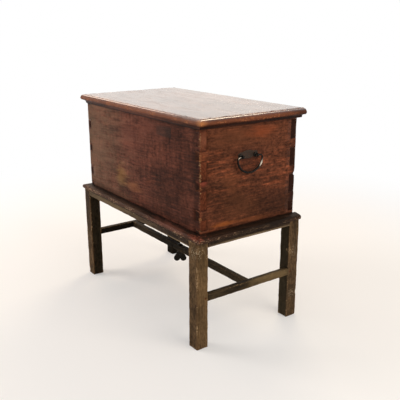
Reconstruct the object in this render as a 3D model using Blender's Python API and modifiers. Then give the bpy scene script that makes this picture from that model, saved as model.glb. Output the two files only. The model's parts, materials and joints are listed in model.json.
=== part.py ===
"""Antique dovetailed chest with a hinged lid, resting on its own stand with stretchers.

Units are metres and +Z is up. The front faces -Y, left and right are as seen from the front,
and the origin lies on the floor under the middle of the whole piece.
"""
import math

import bmesh
import bpy
from mathutils import Matrix, Vector

# Clearances and rounding
GAP = 0.0003              # between two pieces that touch
OVERRUN = 0.004           # how far a cutter runs past the face that it cuts
ARRIS = 0.0009            # rounding of a worn wooden edge
IRON_ARRIS = 0.0004       # rounding of a forged iron edge
ARRIS_STEPS = 2
ROUND_STEPS = 24          # facets round a large turned piece
SMALL_STEPS = 16          # facets round a small one
ARC_STEPS = 6             # chords in a quarter round of a moulding

# Chest
CHEST_LENGTH = 0.726
CHEST_DEPTH = 0.380
CARCASE_HEIGHT = 0.330
SIDE_BOARD = 0.024        # thickness of the front and back boards
END_BOARD = 0.022
BOTTOM_BOARD = 0.014
TAIL_PITCH = 0.0895       # from pin to pin, counted down from the top; the last tail takes the rest
LAST_TAIL_SHARE = 0.5     # least height of that last tail, against the pitch
PIN_WIDTH = 0.028         # narrow side of a dovetail pin, on the chest's end
PIN_SLOPE_SHARE = 0.17    # sideways run of a dovetail for each unit of its length

# Lid
LID_THICKNESS = 0.021
LID_END_REACH = 0.025     # from the chest's end to the nose of the lid moulding
LID_FRONT_REACH = 0.016
LID_BACK_REACH = 0.018    # the plain back edge of the lid overhangs the back board
LID_LIP_DROP = 0.0105      # the moulding hangs this far below the lid board
LID_SIDE_PLAY = 0.0010    # between the hanging moulding and the chest
LID_QUIRK = 0.0013        # fine groove that sets off the rounded nose

# Moulding sections, as shares of their reach and height. An arc has its middle, then its radii
LID_FOOT_SHARE = 0.10
LID_COVE_SHARES = (0.72, 0.06, 0.58, 0.32)
LID_STEP_SHARES = ((0.84, 0.38), (0.86, 0.43))
LID_CHIN_SHARES = (0.90, 0.58, 0.10, 0.13)
LID_THUMB_SHARES = (0.50, 0.58, 0.50, 0.42)
LIP_CHIN_SHARES = (0.90, 0.40, 0.10, 0.40)
LIP_NOSE_SHARES = (0.72, 0.40, 0.28, 0.42)
LIP_TOP_SHARES = ((0.40, 0.93), (0.10, 1.00))

# Hinges
HINGE_LENGTH = 0.060
HINGE_FROM_END = 0.130    # from the chest's end to the middle of a hinge
LEAF_WIDTH = 0.016
LEAF_THICKNESS = 0.0020
KNUCKLE_RADIUS = 0.0040
KNUCKLE_COUNT = 5
HINGE_PIN_RADIUS = 0.0019
HINGE_PLAY = 0.0004

# Stand
STAND_HEIGHT = 0.354
LEG_END_REACH = 0.016     # the legs stand this far outside the chest's ends
LEG_FRONT_REACH = 0.024
LEG_BACK_REACH = 0.016
LEG_SIDE = 0.042
RAIL_HEIGHT = 0.020
RAIL_WIDTH = 0.038
RAIL_TENON_LENGTH = 0.018
RAIL_TENON_WIDTH = 0.014
RAIL_TENON_HEIGHT = 0.010
RAIL_TENON_INSET = 0.004  # from the outer face of the rail to its tenon

# Lip moulding round the foot of the chest
LIP_HEIGHT = 0.018
LIP_END_REACH = 0.030     # from the chest's end to the nose of the lip
LIP_FRONT_REACH = 0.026
LIP_BACK_REACH = 0.010    # the end lips stop this far behind the chest
LIP_PLAY = 0.0005         # between the lip and the chest that it frames

# Stretchers
STRETCHER_TOP = 0.1805
STRETCHER_HEIGHT = 0.023
STRETCHER_WIDTH = 0.019
STRETCHER_TENON_LENGTH = 0.020
STRETCHER_TENON_WIDTH = 0.008
STRETCHER_TENON_HEIGHT = 0.015
LONG_TENON_LENGTH = 0.011
PEG_RADIUS = 0.0036
PEG_LENGTH = 0.032
PEG_PLAY = 0.0002
PEG_FROM_SHOULDER = 0.009 # from the leg's inner face to the peg
LAP_LENGTH = 0.070        # the two lengths of the long stretcher are halved over each other
LAP_CENTER = -0.024

# Bolt and wing nut that clamp the long stretcher
BOLT_RADIUS = 0.0040
BOLT_PLAY = 0.0004
BOLT_HEAD_RADIUS = 0.0100
BOLT_HEAD_HEIGHT = 0.0045
BOLT_TAIL = 0.0030        # the bolt shows this far below the nut
NUT_HUB_RADIUS = 0.0090
NUT_HUB_HEIGHT = 0.0140
NUT_HUB_TAPER_SHARE = 0.80
WING_THICKNESS = 0.0050
WING_ROOT_RADIUS = 0.0050
WING_LOBE_RADIUS = 0.0118
WING_LOBE_OUT = 0.0120    # from the bolt's axis to the middle of a lobe
WING_LOBE_DROP = 0.0290   # from the top of the hub to the middle of a lobe
WING_TURN = math.radians(54.0)

# Drop handles
HANDLE_DROP = 0.1066      # from the top of the carcase down to the pivots
HANDLE_SET_FORWARD = 0.0115   # from the middle of the end board to the handle's middle
PIVOT_SPREAD = 0.0290     # from the handle's middle to a post
BAIL_HALF_WIDTH = 0.0480
BAIL_DROP = 0.0500
BAIL_RADIUS = 0.0036      # at the middle of the grip
BAIL_TIP_SHARE = 0.66     # thickness of the turned-in ends
BAIL_NECK = 0.0105        # straight run of a turned-in end
PLATE_HALF_LENGTH = 0.0390
PLATE_HALF_HEIGHT = 0.0130
PLATE_THICKNESS = 0.0018
PLATE_RISE = 0.0040       # middle of the plate above the pivots
PLATE_END_SHARE = 0.62    # radius of the plate's ends against its half height
PLATE_WAIST_SHARE = 0.52  # half length of the raised middle against the plate's
POST_RADIUS = 0.0055
POST_COLLAR_RADIUS = 0.0075
POST_COLLAR_HEIGHT = 0.0022
POST_REACH = 0.0105       # from the plate to the pivot
POST_NECK_SHARE = 0.62
SHANK_RADIUS = 0.0026
SHANK_PLAY = 0.0004
SHANK_TAIL = 0.0030       # the shank shows this far past its nut
EYE_PLAY = 0.0004
NUT_SIDE = 0.0110
NUT_HEIGHT = 0.0040

# Colours as linear red, green and blue
DARK_WOOD = (0.085, 0.042, 0.026)
RED_WOOD = (0.120, 0.052, 0.028)
TOP_WOOD = (0.160, 0.085, 0.055)
STAND_WOOD = (0.072, 0.050, 0.034)
PALE_WOOD = (0.180, 0.110, 0.060)
BLACK_IRON = (0.022, 0.020, 0.018)

# Heights and faces that several pieces share
STAND_LENGTH = CHEST_LENGTH + 2 * LEG_END_REACH
STAND_DEPTH = CHEST_DEPTH + LEG_FRONT_REACH + LEG_BACK_REACH
CHEST_SET_BACK = (LEG_FRONT_REACH - LEG_BACK_REACH) / 2
CHEST_FLOOR = STAND_HEIGHT + GAP
CARCASE_FLOOR = CHEST_FLOOR + BOTTOM_BOARD + GAP
CARCASE_TOP = CARCASE_FLOOR + CARCASE_HEIGHT
LID_FLOOR = CARCASE_TOP + GAP
LID_TOP = LID_FLOOR + LID_THICKNESS
CHEST_END = CHEST_LENGTH / 2
CHEST_FRONT = CHEST_SET_BACK - CHEST_DEPTH / 2
CHEST_BACK = CHEST_SET_BACK + CHEST_DEPTH / 2
LEG_X = (STAND_LENGTH - LEG_SIDE) / 2
LEG_Y = (STAND_DEPTH - LEG_SIDE) / 2
HANDLE_HEIGHT = CARCASE_TOP - HANDLE_DROP
HANDLE_MIDDLE = CHEST_SET_BACK - HANDLE_SET_FORWARD
HINGE_AXIS_Y = CHEST_BACK + KNUCKLE_RADIUS + GAP
HINGE_AXIS_Z = CARCASE_TOP + GAP / 2
SIDES = {"left": -1, "right": 1}
ENDS = {"front": -1, "back": 1}


def clear_scene():
    """Remove every object of the opened file."""
    for old in list(bpy.data.objects):
        bpy.data.objects.remove(old, do_unlink=True)


def new_collection(name):
    """Make a collection in the scene."""
    group = bpy.data.collections.new(name)
    bpy.context.scene.collection.children.link(group)
    return group


clear_scene()
PARTS = new_collection("chest_on_stand")
CUTTERS = new_collection("cutters")


def paint(piece, color, roughness, metallic=0.0):
    """Give a piece its own Principled material."""
    material = bpy.data.materials.new(piece.name)
    material.use_nodes = True
    shader = material.node_tree.nodes["Principled BSDF"]
    shader.inputs["Base Color"].default_value = (*color, 1.0)
    shader.inputs["Roughness"].default_value = roughness
    shader.inputs["Metallic"].default_value = metallic
    piece.data.materials.clear()
    piece.data.materials.append(material)


def add_object(name, mesh, location, tool=False):
    """Put a mesh in the scene, as a part or as a hidden cutter."""
    piece = bpy.data.objects.new(name, mesh)
    piece.location = location
    (CUTTERS if tool else PARTS).objects.link(piece)
    if tool:
        piece.hide_render = True
        piece.display_type = "WIRE"
    return piece


def add_bevel(piece, width, steps=ARRIS_STEPS):
    """Round the sharp edges of a piece."""
    bevel = piece.modifiers.new("arris", "BEVEL")
    bevel.width = width
    bevel.segments = steps
    bevel.limit_method = "ANGLE"
    bevel.harden_normals = False
    return bevel


def add_boolean(piece, tool, operation="DIFFERENCE"):
    """Cut a tool out of a piece, or join it on."""
    step = piece.modifiers.new(tool.name, "BOOLEAN")
    step.operation = operation
    step.solver = "EXACT"
    step.object = tool
    return step


def block(name, size, location, arris=0.0, tool=False):
    """Make a rectangular block round its own middle."""
    mesh = bpy.data.meshes.new(name)
    shape = bmesh.new()
    bmesh.ops.create_cube(shape, size=1.0)
    bmesh.ops.scale(shape, vec=Vector(size), verts=shape.verts)
    shape.to_mesh(mesh)
    shape.free()
    piece = add_object(name, mesh, location, tool)
    if arris:
        add_bevel(piece, arris)
    return piece


def span_block(name, low, high, arris=0.0, tool=False):
    """Make a rectangular block between two opposite corners."""
    low, high = Vector(low), Vector(high)
    return block(name, high - low, (low + high) / 2, arris, tool)


def rod(name, radius, length, location, axis, tool=False, steps=ROUND_STEPS):
    """Make a round rod along X, Y or Z."""
    mesh = bpy.data.meshes.new(name)
    shape = bmesh.new()
    bmesh.ops.create_cone(shape, cap_ends=True, segments=steps, radius1=radius, radius2=radius, depth=length)
    turn = {"X": Matrix.Rotation(math.pi / 2, 3, "Y"), "Y": Matrix.Rotation(math.pi / 2, 3, "X")}
    if axis in turn:
        bmesh.ops.rotate(shape, cent=(0, 0, 0), matrix=turn[axis], verts=shape.verts)
    shape.to_mesh(mesh)
    shape.free()
    mesh.shade_smooth()
    mesh.set_sharp_from_angle(angle=math.radians(40))
    return add_object(name, mesh, location, tool)


def prism_mesh(name, outlines, thickness):
    """Fill flat outlines in XY and give them a thickness along Z, centred on it."""
    curve = bpy.data.curves.new(name, "CURVE")
    curve.dimensions = "2D"
    curve.fill_mode = "BOTH"
    curve.extrude = thickness / 2
    for outline in outlines:
        spline = curve.splines.new("POLY")
        spline.points.add(len(outline) - 1)
        for point, (x, y) in zip(spline.points, outline):
            point.co = (x, y, 0, 1)
        spline.use_cyclic_u = True
    guide = bpy.data.objects.new(name, curve)
    CUTTERS.objects.link(guide)
    bpy.context.view_layer.update()
    mesh = bpy.data.meshes.new_from_object(guide.evaluated_get(bpy.context.evaluated_depsgraph_get()))
    bpy.data.objects.remove(guide, do_unlink=True)
    shape = bmesh.new()
    shape.from_mesh(mesh)
    bmesh.ops.remove_doubles(shape, verts=shape.verts, dist=GAP / 10)
    bmesh.ops.recalc_face_normals(shape, faces=shape.faces)
    shape.to_mesh(mesh)
    shape.free()
    return mesh


def arc(center, radii, start, end, steps):
    """List points of an elliptical arc, angles in degrees."""
    angles = [math.radians(start + (end - start) * step / steps) for step in range(steps + 1)]
    return [(center[0] + radii[0] * math.cos(a), center[1] + radii[1] * math.sin(a)) for a in angles]


def two_circle_outline(first, first_radius, second, second_radius):
    """Outline of two circles and the straight lines that touch both."""
    span = Vector(second) - Vector(first)
    facing = math.degrees(math.atan2(span.y, span.x))
    lean = math.degrees(math.acos((first_radius - second_radius) / span.length))
    far = arc(second, (second_radius, second_radius), facing - lean, facing + lean, 2 * ARC_STEPS)
    near = arc(first, (first_radius, first_radius), facing + lean, facing + 360 - lean, 2 * ARC_STEPS)
    return far + near


def turned(name, profile, location, axis, steps=ROUND_STEPS):
    """Turn a profile of (radius, height) points round an axis; it runs from top to bottom."""
    mesh = bpy.data.meshes.new(name)
    shape = bmesh.new()
    points = [shape.verts.new((radius, 0, height)) for radius, height in profile]
    for upper, lower in zip(points, points[1:]):
        shape.edges.new((upper, lower))
    shape.to_mesh(mesh)
    shape.free()
    piece = add_object(name, mesh, location)
    screw = piece.modifiers.new("turning", "SCREW")
    screw.steps = steps
    screw.render_steps = steps
    screw.use_merge_vertices = True
    screw.merge_threshold = GAP / 10
    screw.use_smooth_shade = True
    if axis == "X":
        piece.rotation_euler = (0, math.pi / 2, 0)
    if axis == "-X":
        piece.rotation_euler = (0, -math.pi / 2, 0)
    return piece


def share_arc(shares, reach, height, start, end, steps):
    """Arc whose middle and radii are shares of a moulding's reach and height."""
    out, up, out_radius, up_radius = shares
    return arc((reach * out, height * up), (reach * out_radius, height * up_radius), start, end, steps)


def share_points(shares, reach, height):
    """Points given as shares of a moulding's reach and height."""
    return [(reach * out, height * up) for out, up in shares]


def lid_section(reach):
    """Section of the lid moulding: a thumb above a small step and a cove, out from the chest."""
    height = LID_THICKNESS + LID_LIP_DROP
    quirk_out = reach * LID_THUMB_SHARES[0] - LID_QUIRK
    points = [(0, 0), (reach * LID_FOOT_SHARE, 0)]
    points += share_arc(LID_COVE_SHARES, reach, height, 180, 90, ARC_STEPS)
    points += share_points(LID_STEP_SHARES, reach, height)
    points += share_arc(LID_CHIN_SHARES, reach, height, -80, 0, ARC_STEPS // 2)
    thumb = share_arc(LID_THUMB_SHARES, reach, height - LID_QUIRK, 0, 90, ARC_STEPS)
    points += [point for point in thumb if point[1] > points[-1][1] + GAP]
    points += [(quirk_out, height - LID_QUIRK), (quirk_out, height), (0, height)]
    return points


def lip_section(reach):
    """Section of the lip round the chest's foot: a sloping top over a rounded nose."""
    points = [(0, 0)]
    points += share_arc(LIP_CHIN_SHARES, reach, LIP_HEIGHT, -90, 0, ARC_STEPS // 2)
    points += share_arc(LIP_NOSE_SHARES, reach, LIP_HEIGHT, 0, 90, ARC_STEPS)[1:]
    points += share_points(LIP_TOP_SHARES, reach, LIP_HEIGHT)
    return points + [(0, LIP_HEIGHT)]


def moulding(name, section, length, start_slope, end_slope):
    """Run a section along Z and slant its ends; a slope is the run along Z for each unit outwards."""
    mesh = prism_mesh(name, [section], length)
    for vertex in mesh.vertices:
        slope = end_slope if vertex.co.z > 0 else -start_slope
        vertex.co.z += vertex.co.x * slope
    return mesh


def moulding_frame(outward, along):
    """Rotation that takes a section's X outwards, its Y up and its Z along the strip."""
    return Matrix((outward, (0, 0, 1), along)).transposed().to_4x4()


def mitred_set(kind, section, floor, inner, reaches, back_end, color):
    """Make the front, left and right strips of a moulding with mitred front corners."""
    end_face, front_face = inner
    end_reach, front_reach = reaches
    front_slope = end_reach / front_reach
    mesh = moulding(f"{kind}_front", section(front_reach), 2 * end_face - GAP, front_slope, front_slope)
    front = add_object(f"{kind}_front_moulding", mesh, (0, -front_face, floor))
    front.matrix_world = Matrix.Translation(front.location) @ moulding_frame((0, -1, 0), (1, 0, 0))
    length = back_end + front_face - GAP / 2
    middle = (back_end - front_face + GAP / 2) / 2
    strips = [front]
    for side, sign in SIDES.items():
        slope = front_reach / end_reach
        slopes = (slope, 0) if sign > 0 else (0, slope)
        mesh = moulding(f"{kind}_{side}", section(end_reach), length, *slopes)
        strip = add_object(f"{kind}_{side}_moulding", mesh, (sign * end_face, middle, floor))
        strip.matrix_world = Matrix.Translation(strip.location) @ moulding_frame((sign, 0, 0), (0, sign, 0))
        strips.append(strip)
    for strip in strips:
        strip.data.shade_smooth()
        strip.data.set_sharp_from_angle(angle=math.radians(25))
        paint(strip, color, 0.45)
    return strips


def leg_mortise(leg, low, high):
    """Cut one mortise between two opposite corners into a leg."""
    tool = span_block(f"{leg.name}_mortise", low, high, tool=True)
    add_boolean(leg, tool)


def tenon_span(middle, size, play=0.0):
    """Low and high corners of a tenon, or of its mortise with some play."""
    half = Vector(size) / 2 + Vector((play, play, play))
    return Vector(middle) - half, Vector(middle) + half


def rail_tenon(axis, sign_x, sign_y):
    """Middle and size of the tenon that a rail puts into the leg at this corner."""
    height = STAND_HEIGHT - RAIL_HEIGHT / 2
    across = RAIL_TENON_INSET + RAIL_TENON_WIDTH / 2
    shoulder_x = LEG_X - LEG_SIDE / 2
    shoulder_y = LEG_Y - LEG_SIDE / 2
    if axis == "X":
        middle = (sign_x * (shoulder_x + RAIL_TENON_LENGTH / 2), sign_y * (STAND_DEPTH / 2 - across), height)
        return middle, (RAIL_TENON_LENGTH, RAIL_TENON_WIDTH, RAIL_TENON_HEIGHT)
    middle = (sign_x * (STAND_LENGTH / 2 - across), sign_y * (shoulder_y + RAIL_TENON_LENGTH / 2), height)
    return middle, (RAIL_TENON_WIDTH, RAIL_TENON_LENGTH, RAIL_TENON_HEIGHT)


def stretcher_tenon(sign_x, sign_y):
    """Middle and size of the tenon that an end stretcher puts into a leg."""
    middle = (sign_x * (STAND_LENGTH - STRETCHER_WIDTH) / 2,
              sign_y * (LEG_Y - LEG_SIDE / 2 + STRETCHER_TENON_LENGTH / 2),
              STRETCHER_TOP - STRETCHER_HEIGHT / 2)
    return middle, (STRETCHER_TENON_WIDTH, STRETCHER_TENON_LENGTH, STRETCHER_TENON_HEIGHT)


def peg_place(sign_x, sign_y):
    """Middle of the peg that holds a stretcher's tenon, driven in from the leg's end face."""
    return (sign_x * (STAND_LENGTH - PEG_LENGTH) / 2,
            sign_y * (LEG_Y - LEG_SIDE / 2 + PEG_FROM_SHOULDER),
            STRETCHER_TOP - STRETCHER_HEIGHT / 2)


def peg_hole(name, sign_x, sign_y):
    """Tool for a peg's hole, open at the leg's end face and a hair deeper than the peg."""
    x, y, z = peg_place(sign_x, sign_y)
    length = PEG_LENGTH + GAP + OVERRUN
    middle = (x + sign_x * (OVERRUN - GAP) / 2, y, z)
    return rod(name, PEG_RADIUS + PEG_PLAY, length, middle, "X", tool=True)


def make_legs():
    """Four square legs with mortises for two rails and a stretcher, and a peg hole."""
    for side, sign_x in SIDES.items():
        for end, sign_y in ENDS.items():
            name = f"{end}_{side}_leg"
            size = (LEG_SIDE, LEG_SIDE, STAND_HEIGHT)
            leg = block(name, size, (sign_x * LEG_X, sign_y * LEG_Y, STAND_HEIGHT / 2), ARRIS)
            for axis in ("X", "Y"):
                middle, size = rail_tenon(axis, sign_x, sign_y)
                leg_mortise(leg, *tenon_span(middle, size, GAP))
            middle, size = stretcher_tenon(sign_x, sign_y)
            leg_mortise(leg, *tenon_span(middle, size, GAP))
            add_boolean(leg, peg_hole(f"{name}_peg_hole", sign_x, sign_y))
            paint(leg, STAND_WOOD, 0.6)
            peg = rod(f"{end}_{side}_stretcher_peg", PEG_RADIUS, PEG_LENGTH, peg_place(sign_x, sign_y), "X", steps=12)
            paint(peg, PALE_WOOD, 0.6)


def make_rails():
    """Four flat rails, tenoned into the legs at both ends."""
    height = STAND_HEIGHT - RAIL_HEIGHT / 2
    long_span = STAND_LENGTH - 2 * LEG_SIDE - 2 * GAP
    short_span = STAND_DEPTH - 2 * LEG_SIDE - 2 * GAP
    for end, sign_y in ENDS.items():
        middle = (0, sign_y * (STAND_DEPTH - RAIL_WIDTH) / 2, height)
        rail = block(f"{end}_rail", (long_span, RAIL_WIDTH, RAIL_HEIGHT), middle, ARRIS)
        for side, sign_x in SIDES.items():
            low, high = tenon_span(*rail_tenon("X", sign_x, sign_y))
            reach = min(low.x, high.x, key=abs) - sign_x * OVERRUN
            low.x, high.x = min(low.x, reach), max(high.x, reach)
            add_boolean(rail, span_block(f"{end}_{side}_tenon", low, high, tool=True), "UNION")
        paint(rail, STAND_WOOD, 0.6)
    for side, sign_x in SIDES.items():
        middle = (sign_x * (STAND_LENGTH - RAIL_WIDTH) / 2, 0, height)
        rail = block(f"{side}_rail", (RAIL_WIDTH, short_span, RAIL_HEIGHT), middle, ARRIS)
        for end, sign_y in ENDS.items():
            low, high = tenon_span(*rail_tenon("Y", sign_x, sign_y))
            reach = min(low.y, high.y, key=abs) - sign_y * OVERRUN
            low.y, high.y = min(low.y, reach), max(high.y, reach)
            add_boolean(rail, span_block(f"{side}_{end}_tenon", low, high, tool=True), "UNION")
        paint(rail, STAND_WOOD, 0.6)


def long_tenon(sign_x, play=0.0):
    """Corners of the long stretcher's tenon in an end stretcher, or of its mortise."""
    inner_face = STAND_LENGTH / 2 - STRETCHER_WIDTH
    middle = (sign_x * (inner_face + LONG_TENON_LENGTH / 2), 0, STRETCHER_TOP - STRETCHER_HEIGHT / 2)
    size = (LONG_TENON_LENGTH, STRETCHER_TENON_WIDTH, STRETCHER_TENON_HEIGHT)
    return tenon_span(middle, size, play)


def make_end_stretchers():
    """Left and right stretchers between the legs, mortised for the long stretcher."""
    height = STRETCHER_TOP - STRETCHER_HEIGHT / 2
    span = STAND_DEPTH - 2 * LEG_SIDE - 2 * GAP
    for side, sign_x in SIDES.items():
        middle = (sign_x * (STAND_LENGTH - STRETCHER_WIDTH) / 2, 0, height)
        bar = block(f"{side}_stretcher", (STRETCHER_WIDTH, span, STRETCHER_HEIGHT), middle, ARRIS)
        for end, sign_y in ENDS.items():
            low, high = tenon_span(*stretcher_tenon(sign_x, sign_y))
            reach = min(low.y, high.y, key=abs) - sign_y * OVERRUN
            low.y, high.y = min(low.y, reach), max(high.y, reach)
            add_boolean(bar, span_block(f"{side}_{end}_bar_tenon", low, high, tool=True), "UNION")
            add_boolean(bar, peg_hole(f"{side}_{end}_bar_peg_hole", sign_x, sign_y))
        low, high = long_tenon(sign_x, GAP)
        if sign_x > 0:
            low.x -= OVERRUN
        else:
            high.x += OVERRUN
        add_boolean(bar, span_block(f"{side}_long_mortise", low, high, tool=True))
        paint(bar, STAND_WOOD, 0.6)


def make_long_stretcher():
    """Two lengths halved over each other in the middle, each tenoned into an end stretcher."""
    inner_face = STAND_LENGTH / 2 - STRETCHER_WIDTH - GAP
    middle_height = STRETCHER_TOP - STRETCHER_HEIGHT / 2
    half_width = STRETCHER_WIDTH / 2
    hole_height = STRETCHER_HEIGHT + 2 * OVERRUN
    for side, sign_x in SIDES.items():
        far = LAP_CENTER - sign_x * LAP_LENGTH / 2
        xs = sorted((far, sign_x * inner_face))
        low = (xs[0], -half_width, STRETCHER_TOP - STRETCHER_HEIGHT)
        high = (xs[1], half_width, STRETCHER_TOP)
        bar = span_block(f"{side}_long_stretcher", low, high, ARRIS)
        tenon_low, tenon_high = long_tenon(sign_x)
        if sign_x > 0:
            tenon_low.x -= OVERRUN
        else:
            tenon_high.x += OVERRUN
        add_boolean(bar, span_block(f"{side}_long_tenon", tenon_low, tenon_high, tool=True), "UNION")
        shoulder = LAP_CENTER + sign_x * (LAP_LENGTH / 2 + GAP)
        cut_xs = sorted((far - sign_x * OVERRUN, shoulder))
        face = middle_height - sign_x * GAP / 2
        zs = sorted((face, face + sign_x * STRETCHER_HEIGHT))
        cut_low = (cut_xs[0], -half_width - OVERRUN, zs[0])
        cut_high = (cut_xs[1], half_width + OVERRUN, zs[1])
        add_boolean(bar, span_block(f"{side}_lap", cut_low, cut_high, tool=True))
        hole = rod(f"{side}_bolt_hole", BOLT_RADIUS + BOLT_PLAY, hole_height,
                   (LAP_CENTER, 0, middle_height), "Z", tool=True)
        add_boolean(bar, hole)
        paint(bar, STAND_WOOD, 0.6)


def make_bolt():
    """Round-headed bolt down through the lap of the long stretcher."""
    head_floor = STRETCHER_TOP + GAP
    tip = STRETCHER_TOP - STRETCHER_HEIGHT - GAP - NUT_HUB_HEIGHT - BOLT_TAIL
    dome = arc((0, head_floor), (BOLT_HEAD_RADIUS, BOLT_HEAD_HEIGHT), 90, 0, ARC_STEPS)
    dome[0] = (0, head_floor + BOLT_HEAD_HEIGHT)
    profile = dome + [(BOLT_RADIUS, head_floor), (BOLT_RADIUS, tip), (0, tip)]
    bolt = turned("stretcher_bolt", profile, (LAP_CENTER, 0, 0), "Z")
    paint(bolt, BLACK_IRON, 0.55, 0.9)


def make_wing_nut():
    """Forged wing nut below the stretcher, its two round lobes pointing down."""
    top = STRETCHER_TOP - STRETCHER_HEIGHT - GAP
    taper = NUT_HUB_RADIUS * NUT_HUB_TAPER_SHARE
    profile = [(0, 0), (NUT_HUB_RADIUS, 0), (taper, -NUT_HUB_HEIGHT), (0, -NUT_HUB_HEIGHT)]
    nut = turned("stretcher_wing_nut", profile, (LAP_CENTER, 0, top), "Z")
    nut.rotation_euler = (0, 0, WING_TURN)
    for side, sign in SIDES.items():
        root = (sign * WING_ROOT_RADIUS, -WING_ROOT_RADIUS)
        lobe = (sign * WING_LOBE_OUT, -WING_LOBE_DROP)
        outline = two_circle_outline(root, WING_ROOT_RADIUS, lobe, WING_LOBE_RADIUS)
        wing = add_object(f"{side}_wing", prism_mesh(f"{side}_wing", [outline], WING_THICKNESS),
                          (LAP_CENTER, 0, top - IRON_ARRIS), tool=True)
        wing.rotation_euler = (math.pi / 2, 0, WING_TURN)
        add_boolean(nut, wing, "UNION")
    bore = rod("nut_bore", BOLT_RADIUS + BOLT_PLAY, NUT_HUB_HEIGHT + 2 * OVERRUN,
               (LAP_CENTER, 0, top - NUT_HUB_HEIGHT / 2), "Z", tool=True)
    add_boolean(nut, bore)
    paint(nut, BLACK_IRON, 0.5, 0.9)


def pin_half(x_from_face, play):
    """Half width of a dovetail pin at a distance inside the chest's end face."""
    return PIN_WIDTH / 2 + x_from_face * PIN_SLOPE_SHARE + play


def pin_heights():
    """Middles of the pins from the foot up, with a half pin at the foot and at the top."""
    count = max(1, math.ceil(CARCASE_HEIGHT / TAIL_PITCH - LAST_TAIL_SHARE))
    spaced = [CARCASE_TOP - TAIL_PITCH * step for step in range(count)]
    return [CARCASE_FLOOR] + spaced[::-1]


def flat_tool(name, outlines, y_low, y_high):
    """Cutter from outlines in X and Z, run along Y between two faces."""
    tool = add_object(name, prism_mesh(name, outlines, y_high - y_low), (0, (y_low + y_high) / 2, 0), tool=True)
    tool.rotation_euler = (math.pi / 2, 0, 0)
    return tool


def make_side_boards():
    """Front and back boards with a row of tails at each end."""
    faces = {"front": (CHEST_FRONT, CHEST_FRONT + SIDE_BOARD), "back": (CHEST_BACK - SIDE_BOARD, CHEST_BACK)}
    deep, out = END_BOARD + GAP, -OVERRUN
    for end, (y_low, y_high) in faces.items():
        low = (-CHEST_END, y_low, CARCASE_FLOOR)
        board = span_block(f"{end}_board", low, (CHEST_END, y_high, CARCASE_TOP), ARRIS)
        for side, sign in SIDES.items():
            outlines = []
            for z in pin_heights():
                wide, narrow = pin_half(deep, GAP / 2), pin_half(out, GAP / 2)
                outlines.append([(sign * (CHEST_END - deep), z - wide), (sign * (CHEST_END - deep), z + wide),
                                 (sign * (CHEST_END - out), z + narrow), (sign * (CHEST_END - out), z - narrow)])
            tool = flat_tool(f"{end}_{side}_sockets", outlines, y_low - OVERRUN, y_high + OVERRUN)
            add_boolean(board, tool)
        if end == "back":
            for side, sign in SIDES.items():
                add_boolean(board, leaf_recess(f"{side}_lower_recess", sign, upper=False))
        paint(board, DARK_WOOD, 0.45)


def make_end_boards():
    """Left and right boards whose pins fill the gaps between the tails."""
    deep, out = END_BOARD + OVERRUN, -OVERRUN
    heights = pin_heights()
    for side, sign in SIDES.items():
        xs = sorted((sign * CHEST_END, sign * (CHEST_END - END_BOARD)))
        board = span_block(f"{side}_end_board", (xs[0], CHEST_FRONT, CARCASE_FLOOR),
                           (xs[1], CHEST_BACK, CARCASE_TOP), ARRIS)
        outlines = []
        for lower, upper in zip(heights, heights[1:]):
            wide, narrow = pin_half(deep, -GAP / 2), pin_half(out, -GAP / 2)
            inner, outer = sign * (CHEST_END - deep), sign * (CHEST_END - out)
            outlines.append([(inner, lower + wide), (inner, upper - wide),
                             (outer, upper - narrow), (outer, lower + narrow)])
        front = (CHEST_FRONT - OVERRUN, CHEST_FRONT + SIDE_BOARD + GAP)
        back = (CHEST_BACK - SIDE_BOARD - GAP, CHEST_BACK + OVERRUN)
        for end, (y_low, y_high) in {"front": front, "back": back}.items():
            add_boolean(board, flat_tool(f"{side}_{end}_tails", outlines, y_low, y_high))
        for end, offset in post_offsets().items():
            hole = rod(f"{side}_{end}_shank_hole", SHANK_RADIUS + SHANK_PLAY, END_BOARD + 2 * OVERRUN,
                       (sign * (CHEST_END - END_BOARD / 2), offset, HANDLE_HEIGHT), "X", tool=True, steps=SMALL_STEPS)
            add_boolean(board, hole)
        paint(board, RED_WOOD, 0.4)


def make_bottom():
    """Two bottom boards nailed up under the carcase."""
    meeting = CHEST_SET_BACK
    spans = {"front": (CHEST_FRONT, meeting - GAP / 2), "back": (meeting + GAP / 2, CHEST_BACK)}
    for end, (y_low, y_high) in spans.items():
        board = span_block(f"{end}_bottom_board", (-CHEST_END, y_low, CHEST_FLOOR),
                           (CHEST_END, y_high, CHEST_FLOOR + BOTTOM_BOARD), ARRIS)
        paint(board, PALE_WOOD, 0.7)


def hinge_x(sign):
    """Middle of a hinge along the chest."""
    return sign * (CHEST_END - HINGE_FROM_END)


def leaf_recess(name, sign, upper):
    """Tool that lets a hinge leaf in flush with the joint between lid and carcase."""
    half = HINGE_LENGTH / 2 + GAP
    y_low = CHEST_BACK - LEAF_WIDTH - GAP
    x = hinge_x(sign)
    if upper:
        y_high = HINGE_AXIS_Y
        z_low, z_high = LID_FLOOR - OVERRUN, LID_FLOOR + LEAF_THICKNESS + GAP
    else:
        y_high = CHEST_BACK + OVERRUN
        z_low, z_high = CARCASE_TOP - LEAF_THICKNESS - GAP, CARCASE_TOP + OVERRUN
    return span_block(name, (x - half, y_low, z_low), (x + half, y_high, z_high), tool=True)


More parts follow.
